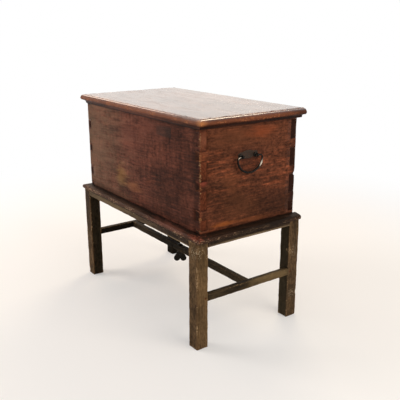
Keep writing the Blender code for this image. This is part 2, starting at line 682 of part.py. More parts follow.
def make_lid():
    """Lid board, grooved under its back edge for the hinges, and its mouldings."""
    end_face = CHEST_END + LID_SIDE_PLAY
    front_face = LID_SIDE_PLAY - CHEST_FRONT
    back_edge = CHEST_BACK + LID_BACK_REACH
    board = span_block("lid_board", (GAP - end_face, GAP - front_face, LID_FLOOR),
                       (end_face - GAP, back_edge, LID_TOP), ARRIS)
    for side, sign in SIDES.items():
        add_boolean(board, leaf_recess(f"{side}_upper_recess", sign, upper=True))
        groove = rod(f"{side}_knuckle_groove", KNUCKLE_RADIUS + HINGE_PLAY, HINGE_LENGTH + 2 * GAP,
                     (hinge_x(sign), HINGE_AXIS_Y, HINGE_AXIS_Z), "X", tool=True)
        add_boolean(board, groove)
    paint(board, TOP_WOOD, 0.25)
    reaches = (LID_END_REACH - LID_SIDE_PLAY, LID_FRONT_REACH - LID_SIDE_PLAY)
    mitred_set("lid", lid_section, LID_FLOOR - LID_LIP_DROP, (end_face, front_face), reaches,
               back_edge, TOP_WOOD)


def make_lip():
    """Lip moulding nailed on top of the stand round the foot of the chest."""
    end_face = CHEST_END + LIP_PLAY
    front_face = LIP_PLAY - CHEST_FRONT
    reaches = (LIP_END_REACH - LIP_PLAY, LIP_FRONT_REACH - LIP_PLAY)
    mitred_set("stand", lip_section, CHEST_FLOOR, (end_face, front_face), reaches,
               CHEST_BACK + LIP_BACK_REACH, STAND_WOOD)


def make_leaf(name, sign, upper):
    """One hinge leaf: a flat plate with every other knuckle rolled on its edge."""
    x = hinge_x(sign)
    step = HINGE_LENGTH / KNUCKLE_COUNT
    plate_edge = HINGE_AXIS_Y - KNUCKLE_RADIUS - HINGE_PLAY
    z_low = LID_FLOOR if upper else CARCASE_TOP - LEAF_THICKNESS
    plate = span_block(name, (x - HINGE_LENGTH / 2, CHEST_BACK - LEAF_WIDTH, z_low),
                       (x + HINGE_LENGTH / 2, plate_edge, z_low + LEAF_THICKNESS))
    for index in range(int(upper), KNUCKLE_COUNT, 2):
        middle = x - HINGE_LENGTH / 2 + (index + 0.5) * step
        half = step / 2 - GAP / 2
        finger = span_block(f"{name}_finger", (middle - half, plate_edge - LEAF_THICKNESS, z_low),
                            (middle + half, HINGE_AXIS_Y, z_low + LEAF_THICKNESS), tool=True)
        add_boolean(plate, finger, "UNION")
        knuckle = rod(f"{name}_knuckle", KNUCKLE_RADIUS, 2 * half, (middle, HINGE_AXIS_Y, HINGE_AXIS_Z),
                      "X", tool=True)
        add_boolean(plate, knuckle, "UNION")
    bore = rod(f"{name}_bore", HINGE_PIN_RADIUS + GAP, HINGE_LENGTH + 2 * OVERRUN,
               (x, HINGE_AXIS_Y, HINGE_AXIS_Z), "X", tool=True, steps=SMALL_STEPS)
    add_boolean(plate, bore)
    paint(plate, BLACK_IRON, 0.55, 0.9)


def make_hinges():
    """Two butt hinges whose knuckles lie under the lid's back overhang."""
    for side, sign in SIDES.items():
        make_leaf(f"{side}_lower_hinge_leaf", sign, upper=False)
        make_leaf(f"{side}_upper_hinge_leaf", sign, upper=True)
        pin = rod(f"{side}_hinge_pin", HINGE_PIN_RADIUS, HINGE_LENGTH, (hinge_x(sign), HINGE_AXIS_Y, HINGE_AXIS_Z),
                  "X", steps=SMALL_STEPS)
        paint(pin, BLACK_IRON, 0.5, 0.9)


def post_offsets():
    """Where the two posts of a handle stand along Y."""
    return {end: HANDLE_MIDDLE + sign * PIVOT_SPREAD for end, sign in ENDS.items()}


def plate_outline():
    """Long back plate with round ends and a raised middle, in Y and Z."""
    end_radius = PLATE_HALF_HEIGHT * PLATE_END_SHARE
    end_middle = PLATE_HALF_LENGTH - end_radius
    waist = PLATE_HALF_LENGTH * PLATE_WAIST_SHARE
    right = arc((end_middle, 0), (end_radius, end_radius), -75, 75, ARC_STEPS)
    crown = arc((0, end_radius), (waist, PLATE_HALF_HEIGHT - end_radius), 12, 168, ARC_STEPS)
    left = arc((-end_middle, 0), (end_radius, end_radius), 105, 255, ARC_STEPS)
    keel = arc((0, -end_radius), (waist, PLATE_HALF_HEIGHT - end_radius), 192, 348, ARC_STEPS)
    return right + crown + left + keel


def make_plate(side, sign):
    """Back plate of a handle, flat against the chest's end."""
    middle = (sign * (CHEST_END + GAP + PLATE_THICKNESS / 2), HANDLE_MIDDLE, HANDLE_HEIGHT + PLATE_RISE)
    plate = add_object(f"{side}_handle_plate",
                       prism_mesh(f"{side}_plate", [plate_outline()], PLATE_THICKNESS), middle)
    plate.rotation_euler = (math.pi / 2, 0, math.pi / 2)
    add_bevel(plate, IRON_ARRIS, 1)
    for end, offset in post_offsets().items():
        hole = rod(f"{side}_{end}_plate_hole", SHANK_RADIUS + SHANK_PLAY, PLATE_THICKNESS + 2 * OVERRUN,
                   (middle[0], offset, HANDLE_HEIGHT), "X", tool=True, steps=SMALL_STEPS)
        add_boolean(plate, hole)
    paint(plate, BLACK_IRON, 0.6, 0.8)


def post_profile():
    """Profile of a handle post from its round head down to the tail of its shank."""
    collar_floor = GAP
    pivot = POST_REACH
    neck = POST_RADIUS * POST_NECK_SHARE
    head = arc((0, pivot), (POST_RADIUS, POST_RADIUS), 90, -40, ARC_STEPS + 2)
    head[0] = (0, pivot + POST_RADIUS)
    tail = -(PLATE_THICKNESS + GAP + END_BOARD + GAP + NUT_HEIGHT + SHANK_TAIL)
    return head + [(neck, collar_floor + 2 * POST_COLLAR_HEIGHT), (POST_COLLAR_RADIUS, collar_floor + POST_COLLAR_HEIGHT),
                   (POST_COLLAR_RADIUS, collar_floor), (SHANK_RADIUS, collar_floor), (SHANK_RADIUS, tail), (0, tail)]


def make_posts(side, sign):
    """Two forged posts whose shanks pass through the end board to square nuts inside."""
    plate_face = CHEST_END + GAP + PLATE_THICKNESS
    for end, offset in post_offsets().items():
        post = turned(f"{side}_{end}_handle_post", post_profile(), (sign * plate_face, offset, HANDLE_HEIGHT),
                      "X" if sign > 0 else "-X", SMALL_STEPS)
        eye = rod(f"{side}_{end}_eye", BAIL_RADIUS * BAIL_TIP_SHARE + EYE_PLAY, 2 * POST_RADIUS + 2 * OVERRUN,
                  (sign * (plate_face + POST_REACH), offset, HANDLE_HEIGHT), "Y", tool=True, steps=SMALL_STEPS)
        add_boolean(post, eye)
        paint(post, BLACK_IRON, 0.5, 0.9)
        nut_x = sign * (CHEST_END - END_BOARD - GAP - NUT_HEIGHT / 2)
        nut = block(f"{side}_{end}_handle_nut", (NUT_HEIGHT, NUT_SIDE, NUT_SIDE),
                    (nut_x, offset, HANDLE_HEIGHT), IRON_ARRIS)
        hole = rod(f"{side}_{end}_nut_hole", SHANK_RADIUS + SHANK_PLAY, NUT_HEIGHT + 2 * OVERRUN,
                   (nut_x, offset, HANDLE_HEIGHT), "X", tool=True, steps=SMALL_STEPS)
        add_boolean(nut, hole)
        paint(nut, BLACK_IRON, 0.6, 0.9)


def bail_half_path():
    """Half of the bail from its turned-in end to the middle of the grip, in Y and Z."""
    neck_end = PIVOT_SPREAD + BAIL_NECK
    turn = BAIL_HALF_WIDTH - neck_end
    inner_end = PIVOT_SPREAD - POST_RADIUS - 2 * GAP
    path = [(inner_end, 0), (PIVOT_SPREAD, 0)]
    path += arc((neck_end, -turn), (turn, turn), 90, 0, ARC_STEPS)
    grip = arc((0, -turn), (BAIL_HALF_WIDTH, BAIL_DROP - turn), 0, -90, 2 * ARC_STEPS)
    return path + grip[1:]


def make_bail(side, sign, pivot):
    """Drop handle that hangs from its two posts and swings out and up."""
    half = bail_half_path()
    path = half + [(-y, z) for y, z in reversed(half[:-1])]
    curve = bpy.data.curves.new(f"{side}_bail", "CURVE")
    curve.dimensions = "3D"
    curve.bevel_depth = BAIL_RADIUS
    curve.bevel_resolution = 3
    curve.use_fill_caps = True
    spline = curve.splines.new("POLY")
    spline.points.add(len(path) - 1)
    for point, (y, z) in zip(spline.points, path):
        point.co = (0, y, z, 1)
        thickening = min(1.0, max(0.0, -z) / (BAIL_DROP / 2))
        point.radius = BAIL_TIP_SHARE + (1 - BAIL_TIP_SHARE) * thickening
    guide = bpy.data.objects.new(f"{side}_bail_guide", curve)
    CUTTERS.objects.link(guide)
    bpy.context.view_layer.update()
    mesh = bpy.data.meshes.new_from_object(guide.evaluated_get(bpy.context.evaluated_depsgraph_get()))
    bpy.data.objects.remove(guide, do_unlink=True)
    shape = bmesh.new()
    shape.from_mesh(mesh)
    bmesh.ops.remove_doubles(shape, verts=shape.verts, dist=GAP / 10)
    bmesh.ops.recalc_face_normals(shape, faces=shape.faces)
    shape.to_mesh(mesh)
    shape.free()
    mesh.shade_smooth()
    bail = add_object(f"{side}_handle_bail", mesh, (0, 0, 0))
    bail.parent = pivot
    paint(bail, BLACK_IRON, 0.45, 0.9)


def make_handles():
    """A plate, two posts with nuts and a bail on each end of the chest."""
    for side, sign in SIDES.items():
        make_plate(side, sign)
        make_posts(side, sign)
        pivot_x = sign * (CHEST_END + GAP + PLATE_THICKNESS + POST_REACH)
        pivot = add_axis(f"{side}_bail_axis", (pivot_x, HANDLE_MIDDLE, HANDLE_HEIGHT))
        make_bail(side, sign, pivot)


def add_axis(name, location):
    """Empty that marks a joint's axis and carries what moves on it."""
    axis = bpy.data.objects.new(name, None)
    axis.location = location
    axis.empty_display_size = LEG_SIDE
    PARTS.objects.link(axis)
    bpy.context.view_layer.update()
    return axis


def carry(axis, names):
    """Parent pieces to an axis without moving them."""
    bpy.context.view_layer.update()
    for name in names:
        piece = bpy.data.objects[name]
        place = piece.matrix_world.copy()
        piece.parent = axis
        piece.matrix_parent_inverse = axis.matrix_world.inverted()
        piece.matrix_world = place


def build():
    """Make the whole chest on its stand."""
    make_legs()
    make_rails()
    make_lip()
    make_end_stretchers()
    make_long_stretcher()
    make_bolt()
    make_wing_nut()
    make_side_boards()
    make_end_boards()
    make_bottom()
    make_lid()
    make_hinges()
    make_handles()
    lid_axis = add_axis("lid_axis", (0, HINGE_AXIS_Y, HINGE_AXIS_Z))
    carry(lid_axis, ["lid_board", "lid_front_moulding", "lid_left_moulding", "lid_right_moulding",
                     "left_upper_hinge_leaf", "right_upper_hinge_leaf"])


build()
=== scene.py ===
"""An antique dovetailed mahogany chest on its stand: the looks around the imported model.

The chest has a moulded lid on butt hinges, forged drop handles and a stand with an H of stretchers.
Every wooden piece is a worn copy of its solid, every iron piece a hammered one, and the nails and
screws are set out by Geometry Nodes. All sizes are metres unless a name says millimetres.
"""

import json
import logging
import math
from dataclasses import dataclass, field
from enum import Enum
from functools import partial
from typing import Any

import bmesh
import bpy
from mathutils import Euler, Matrix, Vector, noise
from mathutils.bvhtree import BVHTree

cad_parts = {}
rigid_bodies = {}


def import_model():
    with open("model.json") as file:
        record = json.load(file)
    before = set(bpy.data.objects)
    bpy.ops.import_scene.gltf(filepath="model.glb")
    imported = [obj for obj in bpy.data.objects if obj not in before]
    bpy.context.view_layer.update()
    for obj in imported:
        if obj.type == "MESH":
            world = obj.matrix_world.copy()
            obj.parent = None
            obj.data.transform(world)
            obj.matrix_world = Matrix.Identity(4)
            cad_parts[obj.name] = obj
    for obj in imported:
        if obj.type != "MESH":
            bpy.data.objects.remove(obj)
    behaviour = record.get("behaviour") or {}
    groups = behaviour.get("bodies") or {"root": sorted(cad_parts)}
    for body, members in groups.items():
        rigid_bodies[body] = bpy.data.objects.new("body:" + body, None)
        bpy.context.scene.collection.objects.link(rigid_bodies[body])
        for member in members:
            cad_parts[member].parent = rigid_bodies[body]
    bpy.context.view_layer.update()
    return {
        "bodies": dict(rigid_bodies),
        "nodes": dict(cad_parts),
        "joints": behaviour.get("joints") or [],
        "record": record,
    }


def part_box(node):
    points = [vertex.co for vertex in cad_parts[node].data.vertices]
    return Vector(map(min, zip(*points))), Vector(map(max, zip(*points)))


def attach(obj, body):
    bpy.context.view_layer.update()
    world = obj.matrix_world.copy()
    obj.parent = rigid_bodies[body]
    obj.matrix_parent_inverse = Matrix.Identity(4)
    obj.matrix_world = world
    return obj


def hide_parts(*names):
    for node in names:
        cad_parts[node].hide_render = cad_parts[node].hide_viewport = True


Tree = bpy.types.NodeTree
Socket = bpy.types.NodeSocket
Shape = bmesh.types.BMesh
Point = tuple[float, float, float]

LOG = logging.getLogger("chest")
FAR = 9.0                       # further out than any piece reaches
MERGE = 0.00001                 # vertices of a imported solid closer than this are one
ON_CUT = 1e-7                   # vertices this close to a cut lie on it
FLAT = math.radians(0.4)        # faces that meet flatter than this are one
AXES = Matrix.Identity(3)       # directions of X, Y and Z
FIBRE_LEAN = (0.0, 0.06, 0.04)  # tilt of the fibres against the board, which draws out the flames
FADED = 1.4                     # half sizes from its middle at which a spot has faded out
SCUFFED = (1.6, 5.0)            # raggedness and grain in millimetres of a scuffed spot
RINGS = 314.0                   # scale of a wave texture whose rings are 1 mm apart
RELIEF = 6.0                    # how many times its bump a wood's relief is drawn, so that it shows


def hex_linear(code: str) -> tuple[float, float, float, float]:
    """Turn an sRGB hex colour into linear values.

    Args:
        code: Six hex digits.

    Returns:
        Red, green, blue and an alpha of one.
    """
    channels = [int(code[i:i + 2], 16) / 255 for i in (0, 2, 4)]
    linear = [c / 12.92 if c <= 0.04045 else ((c + 0.055) / 1.055) ** 2.4 for c in channels]
    return (linear[0], linear[1], linear[2], 1.0)


class Step(Enum):
    """Steps that the trees take again and again: a node's Blender type, its setting and its output."""

    PLUS = ("ShaderNodeMath", {"operation": "ADD"}, 0)
    MINUS = ("ShaderNodeMath", {"operation": "SUBTRACT"}, 0)
    TIMES = ("ShaderNodeMath", {"operation": "MULTIPLY"}, 0)
    TIMES_PLUS = ("ShaderNodeMath", {"operation": "MULTIPLY_ADD"}, 0)
    LARGER = ("ShaderNodeMath", {"operation": "MAXIMUM"}, 0)
    UNSIGNED = ("ShaderNodeMath", {"operation": "ABSOLUTE"}, 0)
    FADE_IN = ("ShaderNodeMapRange", {"interpolation_type": "SMOOTHSTEP"}, 0)
    PLACE_MINUS = ("ShaderNodeVectorMath", {"operation": "SUBTRACT"}, 0)
    PLACE_TIMES = ("ShaderNodeVectorMath", {"operation": "MULTIPLY"}, 0)
    PLACE_OVER = ("ShaderNodeVectorMath", {"operation": "DIVIDE"}, 0)
    SHADED = ("ShaderNodeVectorMath", {"operation": "SCALE"}, 0)
    FACING = ("ShaderNodeVectorMath", {"operation": "DOT_PRODUCT"}, "Value")
    LENGTH = ("ShaderNodeVectorMath", {"operation": "LENGTH"}, "Value")


def add_node(tree: Tree, kind: str | Step, inputs: Any = (), out: int | str = 0,
             **settings: Any) -> Socket | None:
    """Add a node with its settings, values and links.

    Args:
        tree: The tree that gets the node.
        kind: The node's Blender type, or a step.
        inputs: Values or sockets to link from, in the order of its inputs or by their names or numbers.
        out: Name or number of the output that is needed.
        **settings: Properties of the node.

    Returns:
        That output, or nothing if the node has none.
    """
    if isinstance(kind, Step):
        kind, fixed, out = kind.value
        settings |= fixed
    node = tree.nodes.new(kind)
    for key, value in settings.items():
        setattr(node, key, value)
    for key, value in (inputs if isinstance(inputs, dict) else dict(enumerate(inputs))).items():
        if isinstance(value, Socket):
            tree.links.new(value, node.inputs[key])
        else:
            node.inputs[key].default_value = value
    return node.outputs[out] if node.outputs else None


def layered(tree: Tree, color: Any, *layers: tuple[Any, Any]) -> Socket:
    """Lay colours over one another.

    Args:
        tree: The tree that gets the nodes.
        color: The lowest colour, as a socket or in hex.
        *layers: How far each next colour hides what is under it, and that colour.

    Returns:
        What is seen of them all.
    """
    for share, over in layers:
        pair = [hex_linear(tone) if isinstance(tone, str) else tone for tone in (color, over)]
        color = add_node(tree, "ShaderNodeMix", {0: share, 6: pair[0], 7: pair[1]}, 2, data_type="RGBA")
    return color


def weighted(tree: Tree, total: Any, *terms: tuple[Any, float]) -> Socket:
    """Add values, each times its weight, to a first value.

    Args:
        tree: The tree that gets the nodes.
        total: The first value.
        *terms: Each further value with its weight.

    Returns:
        The sum.
    """
    for value, weight in terms:
        total = add_node(tree, Step.TIMES_PLUS, (value, weight, total))
    return total


def new_group(name: str, kind: str, gives: tuple, takes: tuple) -> tuple[Tree, Any]:
    """Start a node group.

    Args:
        name: Its name.
        kind: Its Blender type.
        gives: Label and kind of each output.
        takes: Label and kind of each input, and its usual value where it has one.

    Returns:
        The group, and the sockets that its inputs come from.
    """
    tree = bpy.data.node_groups.new(name, kind)
    for way, rows in (("INPUT", takes), ("OUTPUT", gives)):
        for label, socket_kind, *usual in rows:
            socket = tree.interface.new_socket(label, in_out=way, socket_type=f"NodeSocket{socket_kind}")
            if usual:
                socket.default_value = usual[0]
    return tree, add_node(tree, "NodeGroupInput").node.outputs


def emptied(owner: bpy.types.Material | bpy.types.World) -> Tree:
    """Give a material or a world an empty tree of nodes.

    Args:
        owner: The material or world.

    Returns:
        Its tree.
    """
    owner.use_nodes = True
    owner.node_tree.nodes.clear()
    return owner.node_tree


def end_material(tree: Tree, relief: dict[str, Any], shader: dict[str, Any]) -> None:
    """Close a material with the inputs of its relief and of its shader.

    Args:
        tree: The material's tree.
        relief: Inputs of the Bump node.
        shader: Inputs of the surface, besides its normal.
    """
    bumped = add_node(tree, "ShaderNodeBump", relief)
    surface = add_node(tree, "ShaderNodeBsdfPrincipled", {"Normal": bumped, **shader})
    add_node(tree, "ShaderNodeOutputMaterial", {"Surface": surface})


class Grain(Enum):
    """Axis that a board's fibres run along: its number, and the turn that lays it on X."""

    X = (0, (0.0, 0.0, 0.0))
    Y = (1, (0.0, 0.0, -math.pi / 2))
    Z = (2, (0.0, math.pi / 2, 0.0))


class Side(Enum):
    """Face of a board that was never polished, or on the stand its inward face that gets painted shade, as an
    outward direction, or none.
    """

    NONE = (0.0, 0.0, 0.0)
    FRONT = (0.0, -1.0, 0.0)
    BACK = (0.0, 1.0, 0.0)
    LEFT = (-1.0, 0.0, 0.0)
    RIGHT = (1.0, 0.0, 0.0)
    UNDER = (0.0, 0.0, -1.0)
    RIGHT_BACK = (0.7071, 0.7071, 0.0)
    LEFT_BACK = (-0.7071, 0.7071, 0.0)
    RIGHT_FRONT = (0.7071, -0.7071, 0.0)
    LEFT_FRONT = (-0.7071, -0.7071, 0.0)


class Wear(Enum):
    """Where hands and shoes have rubbed a piece."""

    EDGES = "edges"
    NOSE = "nose"
    HIDDEN = "hidden"


@dataclass(frozen=True)
class Pattern:
    """Noise with spots of a real size.

    Attributes:
        size_mm: Size of a spot along each axis.
        detail: Octaves of finer noise.
        rough: Strength of each finer octave.
        band: Where the spots start to show and where they are full, or none for the plain noise.
    """

    size_mm: Point
    detail: float = 3.0
    rough: float = 0.55
    band: tuple[float, float] | None = None

    def lay(self, tree: Tree, place: Socket) -> Socket:
        """Add the pattern to a tree, at a place in metres.

        Args:
            tree: The tree that gets the nodes.
            place: Position in metres.

        Returns:
            The noise, or how far a spot shows, from 0 to 1.
        """
        scaled = add_node(tree, Step.PLACE_TIMES, (place, [1000.0 / size for size in self.size_mm]))
        spots = add_node(tree, "ShaderNodeTexNoise", {"Vector": scaled, "Scale": 1.0, "Detail": self.detail,
                                                      "Roughness": self.rough})
        if self.band is None:
            return spots
        return add_node(tree, Step.FADE_IN, (spots, *self.band))


@dataclass(frozen=True)
class ToneSpot:
    """A soft-edged place on a board that time has coloured, or that holds painted light or shade.

    Attributes:
        place: Its middle.
        size: Its half size along each axis.
        color: Its colour.
        strength: How far it hides the wood.
        broken: How raggedly its edge breaks up.
        scuff_mm: Size of the scuffs that it breaks up into, or 0 where it is whole.
    """

    place: Point
    size: Point
    color: str
    strength: float
    broken: float = 2.2
    scuff_mm: float = 0.0

    def over(self, tree: Tree, where: Socket, color: Socket, ragged: Socket) -> Socket:
        """Lay the spot over a colour.

        Args:
            tree: The material's tree.
            where: Position in metres.
            color: The colour under it.
            ragged: A noise that breaks its edge.

        Returns:
            The colour with the spot.
        """
        add = partial(add_node, tree)
        away = add(Step.PLACE_MINUS, (where, self.place))
        away = add(Step.PLACE_OVER, (away, self.size))
        reach = weighted(tree, add(Step.LENGTH, (away,)), (add(Step.MINUS, (ragged, 0.5)), self.broken))
        share = add(Step.FADE_IN, (add(Step.MINUS, (FADED, reach)), 0.0, FADED))
        share = add(Step.TIMES, (share, self.strength))
        if self.scuff_mm:
            scuffs = Pattern((self.scuff_mm,) * 3, 3.0, 0.7, (0.53, 0.61)).lay(tree, where)
            share = add(Step.TIMES, (share, scuffs))
        return layered(tree, color, (share, self.color))


def dirt_and_painted_shade(level: float, half: float, strength: float = 0.8) -> ToneSpot:
    """Dark dirt and painted shade in a band along a level joint or hollow."""
    return ToneSpot((0.0, 0.0, level), (FAR, FAR, half), "120C09", strength, 0.8)


def face_marks(axis: int, face: float, rows: tuple) -> tuple[ToneSpot, ...]:
    """Colour an upright face in places.

    Args:
        axis: Number of the axis that the face looks along.
        face: Where the face is on that axis.
        rows: Place along the face and height of each spot, its half sizes that way, and its other values.

    Returns:
        The spots.
    """
    spots = []
    for along, height, half_length, half_height, *tone in rows:
        place, size = [along, height], [half_length, half_height]
        place.insert(axis, face)
        size.insert(axis, 0.05)
        spots.append(ToneSpot(tuple(place), tuple(size), *tone))
    return tuple(spots)


@dataclass(frozen=True)
class WoodFinish:
    """One kind of wood with its polish.

    Attributes:
        name: The wood and how it was finished.
        dark: Late growth and old polish.
        body: The usual colour of the wood.
        flame: Bright streaks of the figure.
        flame_share: How much of the wood the bright streaks take.
        worn: Bare wood on rubbed edges.
        raw_and_shade: Unpolished inner faces.
        end: End grain.
        ring_mm: Spacing of the growth rings.
        roughness: Sheen of the polish.
        specular: Strength of the reflection.
        coat: Weight of a clear gloss over the colour.
        coat_roughness: Sheen of that gloss.
        top_coat: Further gloss where the wood faces up and was polished with the lid.
        smudge: How far finger marks and fine scratches dull the gloss.
        bump: Depth of pores and fibres in metres.
        soil: Share of the surface that dirt has dulled.
        speckle: Strength of the fine mottling.
        chatter: Strength of the scraper marks across the grain.
        chips: How readily its rubbed edges show bare wood, from 0 to 1.
    """

    name: str
    dark: str
    body: str
    flame: str
    flame_share: float
    worn: str
    raw_and_shade: str
    end: str
    ring_mm: float
    roughness: float
    specular: float
    coat: float = 0.0
    coat_roughness: float = 0.15
    top_coat: float = 0.0
    smudge: float = 0.0
    bump: float = 0.00015
    soil: float = 0.3
    speckle: float = 0.5
    chatter: float = 0.0
    chips: float = 0.5

    def surface_group(self) -> Tree:
        """Build the shared pattern of this wood once.

        Returns:
            A group that takes a place along the grain and the masks for end grain, for unpolished faces and
            the painted shade of the stand's inward faces, and for worn wood, and gives colour, roughness and
            height.
        """
        existing = bpy.data.node_groups.get(self.name)
        if existing:
            return existing
        tree, given = new_group(self.name, "ShaderNodeTree",
                                (("Color", "Color"), ("Roughness", "Float"), ("Height", "Float")),
                                (("Place", "Vector"), ("End", "Float"), ("Raw", "Float"), ("Worn", "Float")))
        add = partial(add_node, tree)
        place, end, raw_and_shade, worn = given["Place"], given["End"], given["Raw"], given["Worn"]
        # Clouds of tone a hand wide, as old polish has
        cloud = Pattern((230, 80, 80)).lay(tree, place)
        # Growth rings round a pith beside the board: arcs on an end, flames on a face
        warp = add(Step.PLACE_TIMES, (place, (0.10, 1.0, 1.0)))
        rings = add("ShaderNodeTexWave", {"Vector": warp, "Scale": RINGS / self.ring_mm, "Distortion": 7.0,
                                          "Detail": 2.0, "Detail Scale": 0.8, "Detail Roughness": 0.5},
                    "Fac", wave_type="RINGS", rings_direction="X")
        # Fibres 4.5 mm wide and 50 mm long, drawn coarse enough to show from across a room
        fibre = Pattern((50, 4.5, 4.5), 4.0, 0.62).lay(tree, place)
        # Pores: dashes 0.6 mm wide and 8 mm long
        pore = Pattern((8, 0.6, 0.6), 2.0, band=(0.60, 0.72)).lay(tree, place)
        # Mottling of 8 mm with finer grit in it: old wax, dust in the pores and small dents
        fleck = Pattern((13, 8, 8), 4.0, 0.75).lay(tree, place)
        tone = weighted(tree, 0.0, (rings, 0.10), (cloud, 1.2), (fibre, 0.7))
        tone = add(Step.FADE_IN, (tone, 0.70, 1.30))
        # Flame streaks 9 mm high and a hand long, where the figure lifts
        streak = Pattern((80, 9, 9), 4.0, 0.65).lay(tree, place)
        lift = weighted(tree, streak, (Pattern((260, 110, 110), 1.0).lay(tree, place), 0.6))
        edge = 0.98 - 0.25 * self.flame_share
        flame = add(Step.FADE_IN, (lift, edge, edge + 0.25))
        flame = add(Step.TIMES, (flame, min(0.8, self.flame_share * 1.5)))
        # Unpolished inner faces show their fibres, and cut ends their rings; on the stand the same mask lays
        # painted shade on the inward faces
        bright_fibre = add(Step.FADE_IN, (fibre, 0.35, 0.65))
        raw_and_shade_tone = layered(tree, self.dark, (bright_fibre, self.raw_and_shade), (0.6, self.raw_and_shade))
        end_tone = layered(tree, self.end, (add(Step.TIMES, (rings, 0.35)), self.dark))
        # Soil: dull spots 38 to 60 mm across
        soil = Pattern((60, 38, 38), 5.0, 0.65, (0.50, 0.68)).lay(tree, place)
        dirty = add(Step.TIMES, (soil, self.soil))
        color = layered(tree, self.dark, (tone, self.body), (flame, self.flame),
                        (add(Step.TIMES, (pore, 0.35)), self.dark), (raw_and_shade, raw_and_shade_tone), (end, end_tone),
                        (dirty, self.dark))
        # Mottling, scraper marks and uneven wiping change the depth of the colour
        marks = Pattern((15, 95, 95), rough=0.65).lay(tree, place)
        wiped = Pattern((85, 420, 420), 2.0, 0.5).lay(tree, place)
        shade = 1.0
        for depth, strength in ((fleck, self.speckle * 4.0), (marks, self.chatter * 4.0),
                                (wiped, self.chatter * 2.4)):
            shade = weighted(tree, shade, (add(Step.MINUS, (depth, 0.5)), strength))
        shade = add(Step.LARGER, (shade, 0.25))
        color = add(Step.SHADED, {0: color, "Scale": shade})
        # Rubbed edges: lighter all along, and bare where small chips of 3 to 6 mm cluster
        chip = Pattern((6, 3.5, 3.5), 3.0, 0.6).lay(tree, place)
        cluster = Pattern((55, 40, 40), 2.0).lay(tree, place)
        bare = weighted(tree, chip, (cluster, 0.55), (worn, 0.16))
        gate = 1.03 - 0.14 * self.chips
        bare = add(Step.TIMES, (add(Step.FADE_IN, (bare, gate, gate + 0.06)),
                                add(Step.FADE_IN, (worn, -0.12, 0.45))))
        color = layered(tree, color, (add(Step.TIMES, (worn, 0.30)), self.flame), (bare, self.worn))
        unpolished = add(Step.LARGER, (end, raw_and_shade))
        rough = weighted(tree, self.roughness - 0.08, (fibre, 0.16), (dirty, 0.22), (unpolished, 0.25))
        rough = add(Step.TIMES_PLUS, (bare, 0.12, rough), use_clamp=True)
        height = weighted(tree, 0.0, (fibre, 0.8), (pore, -0.5), (fleck, 0.5), (bare, -0.5))
        add("NodeGroupOutput", {"Color": color, "Roughness": rough, "Height": height})
        return tree

    def material(self, piece: str, grain: Grain, raw_and_shade_side: Side, center: Vector, seed: float,
                 spots: tuple[ToneSpot, ...] = ()) -> bpy.types.Material:
        """Make the wood of one piece.

        Args:
            piece: Name of the piece, for the material's name.
            grain: Axis of the fibres.
            raw_and_shade_side: Face that has no polish, or on the stand the inward face that gets painted
                shade.
            center: Middle of the piece, which the pith passes at a hand's width.
            seed: A number that is the piece's own, so that no two boards match.
            spots: Places that time has coloured, and places of painted light and shade.

        Returns:
            The material, which reads the piece's Object coordinates and its "worn" attribute.
        """
        material = bpy.data.materials.new(f"{self.name}.{piece}")
        tree = emptied(material)
        add = partial(add_node, tree)
        where = add("ShaderNodeTexCoord", out="Object")
        normal = where.node.outputs["Normal"]
        axis, turn = grain.value
        tilt = Euler([angle + lean for angle, lean in zip(turn, FIBRE_LEAN)])
        pith = Vector((seed, 0.055 + 0.02 * math.sin(seed * 5), 0.035 + 0.03 * math.cos(seed * 7)))
        place = add("ShaderNodeMapping", {"Vector": where, "Rotation": tilt,
                                          "Location": pith - tilt.to_matrix() @ center})
        end = add(Step.FACING, (normal, AXES[axis]))
        end = add(Step.UNSIGNED, (end,))
        raw_and_shade = add(Step.FACING, (normal, raw_and_shade_side.value))
        color = add("ShaderNodeGroup", node_tree=self.surface_group())
        surface = color.node
        worn = add("ShaderNodeAttribute", out="Fac", attribute_name="worn")
        end, raw_and_shade = add(Step.FADE_IN, (end, 0.75, 0.92)), add(Step.FADE_IN, (raw_and_shade, 0.45, 0.65))
        for label, socket in (("Place", place), ("End", end), ("Raw", raw_and_shade), ("Worn", worn)):
            tree.links.new(socket, surface.inputs[label])
        if spots:
            ragged = Pattern((70, 16, 16), 4.0, 0.65).lay(tree, place)
            for spot in spots:
                color = spot.over(tree, where, color, ragged)
        coat, specular = self.coat, self.specular
        if self.smudge:
            marks = Pattern((110, 22, 22), 5.0, 0.7, (0.46, 0.66)).lay(tree, place)
            coat = weighted(tree, coat, (marks, -self.smudge * coat))
        if self.top_coat:
            up = add("ShaderNodeSeparateXYZ", (normal,), "Z")
            coat = weighted(tree, coat, (add(Step.FADE_IN, (up, 0.3, 0.9)), self.top_coat))
            specular = weighted(tree, specular, (add(Step.FADE_IN, (up, 0.85, 0.98)), self.top_coat * 0.4))
        relief = {"Height": surface.outputs["Height"], "Distance": self.bump * RELIEF, "Strength": 0.5}
        end_material(tree, relief, {"Base Color": color, "Roughness": surface.outputs["Roughness"],
                                    "Specular IOR Level": specular, "Coat Weight": coat,
                                    "Coat Roughness": self.coat_roughness})
        return material


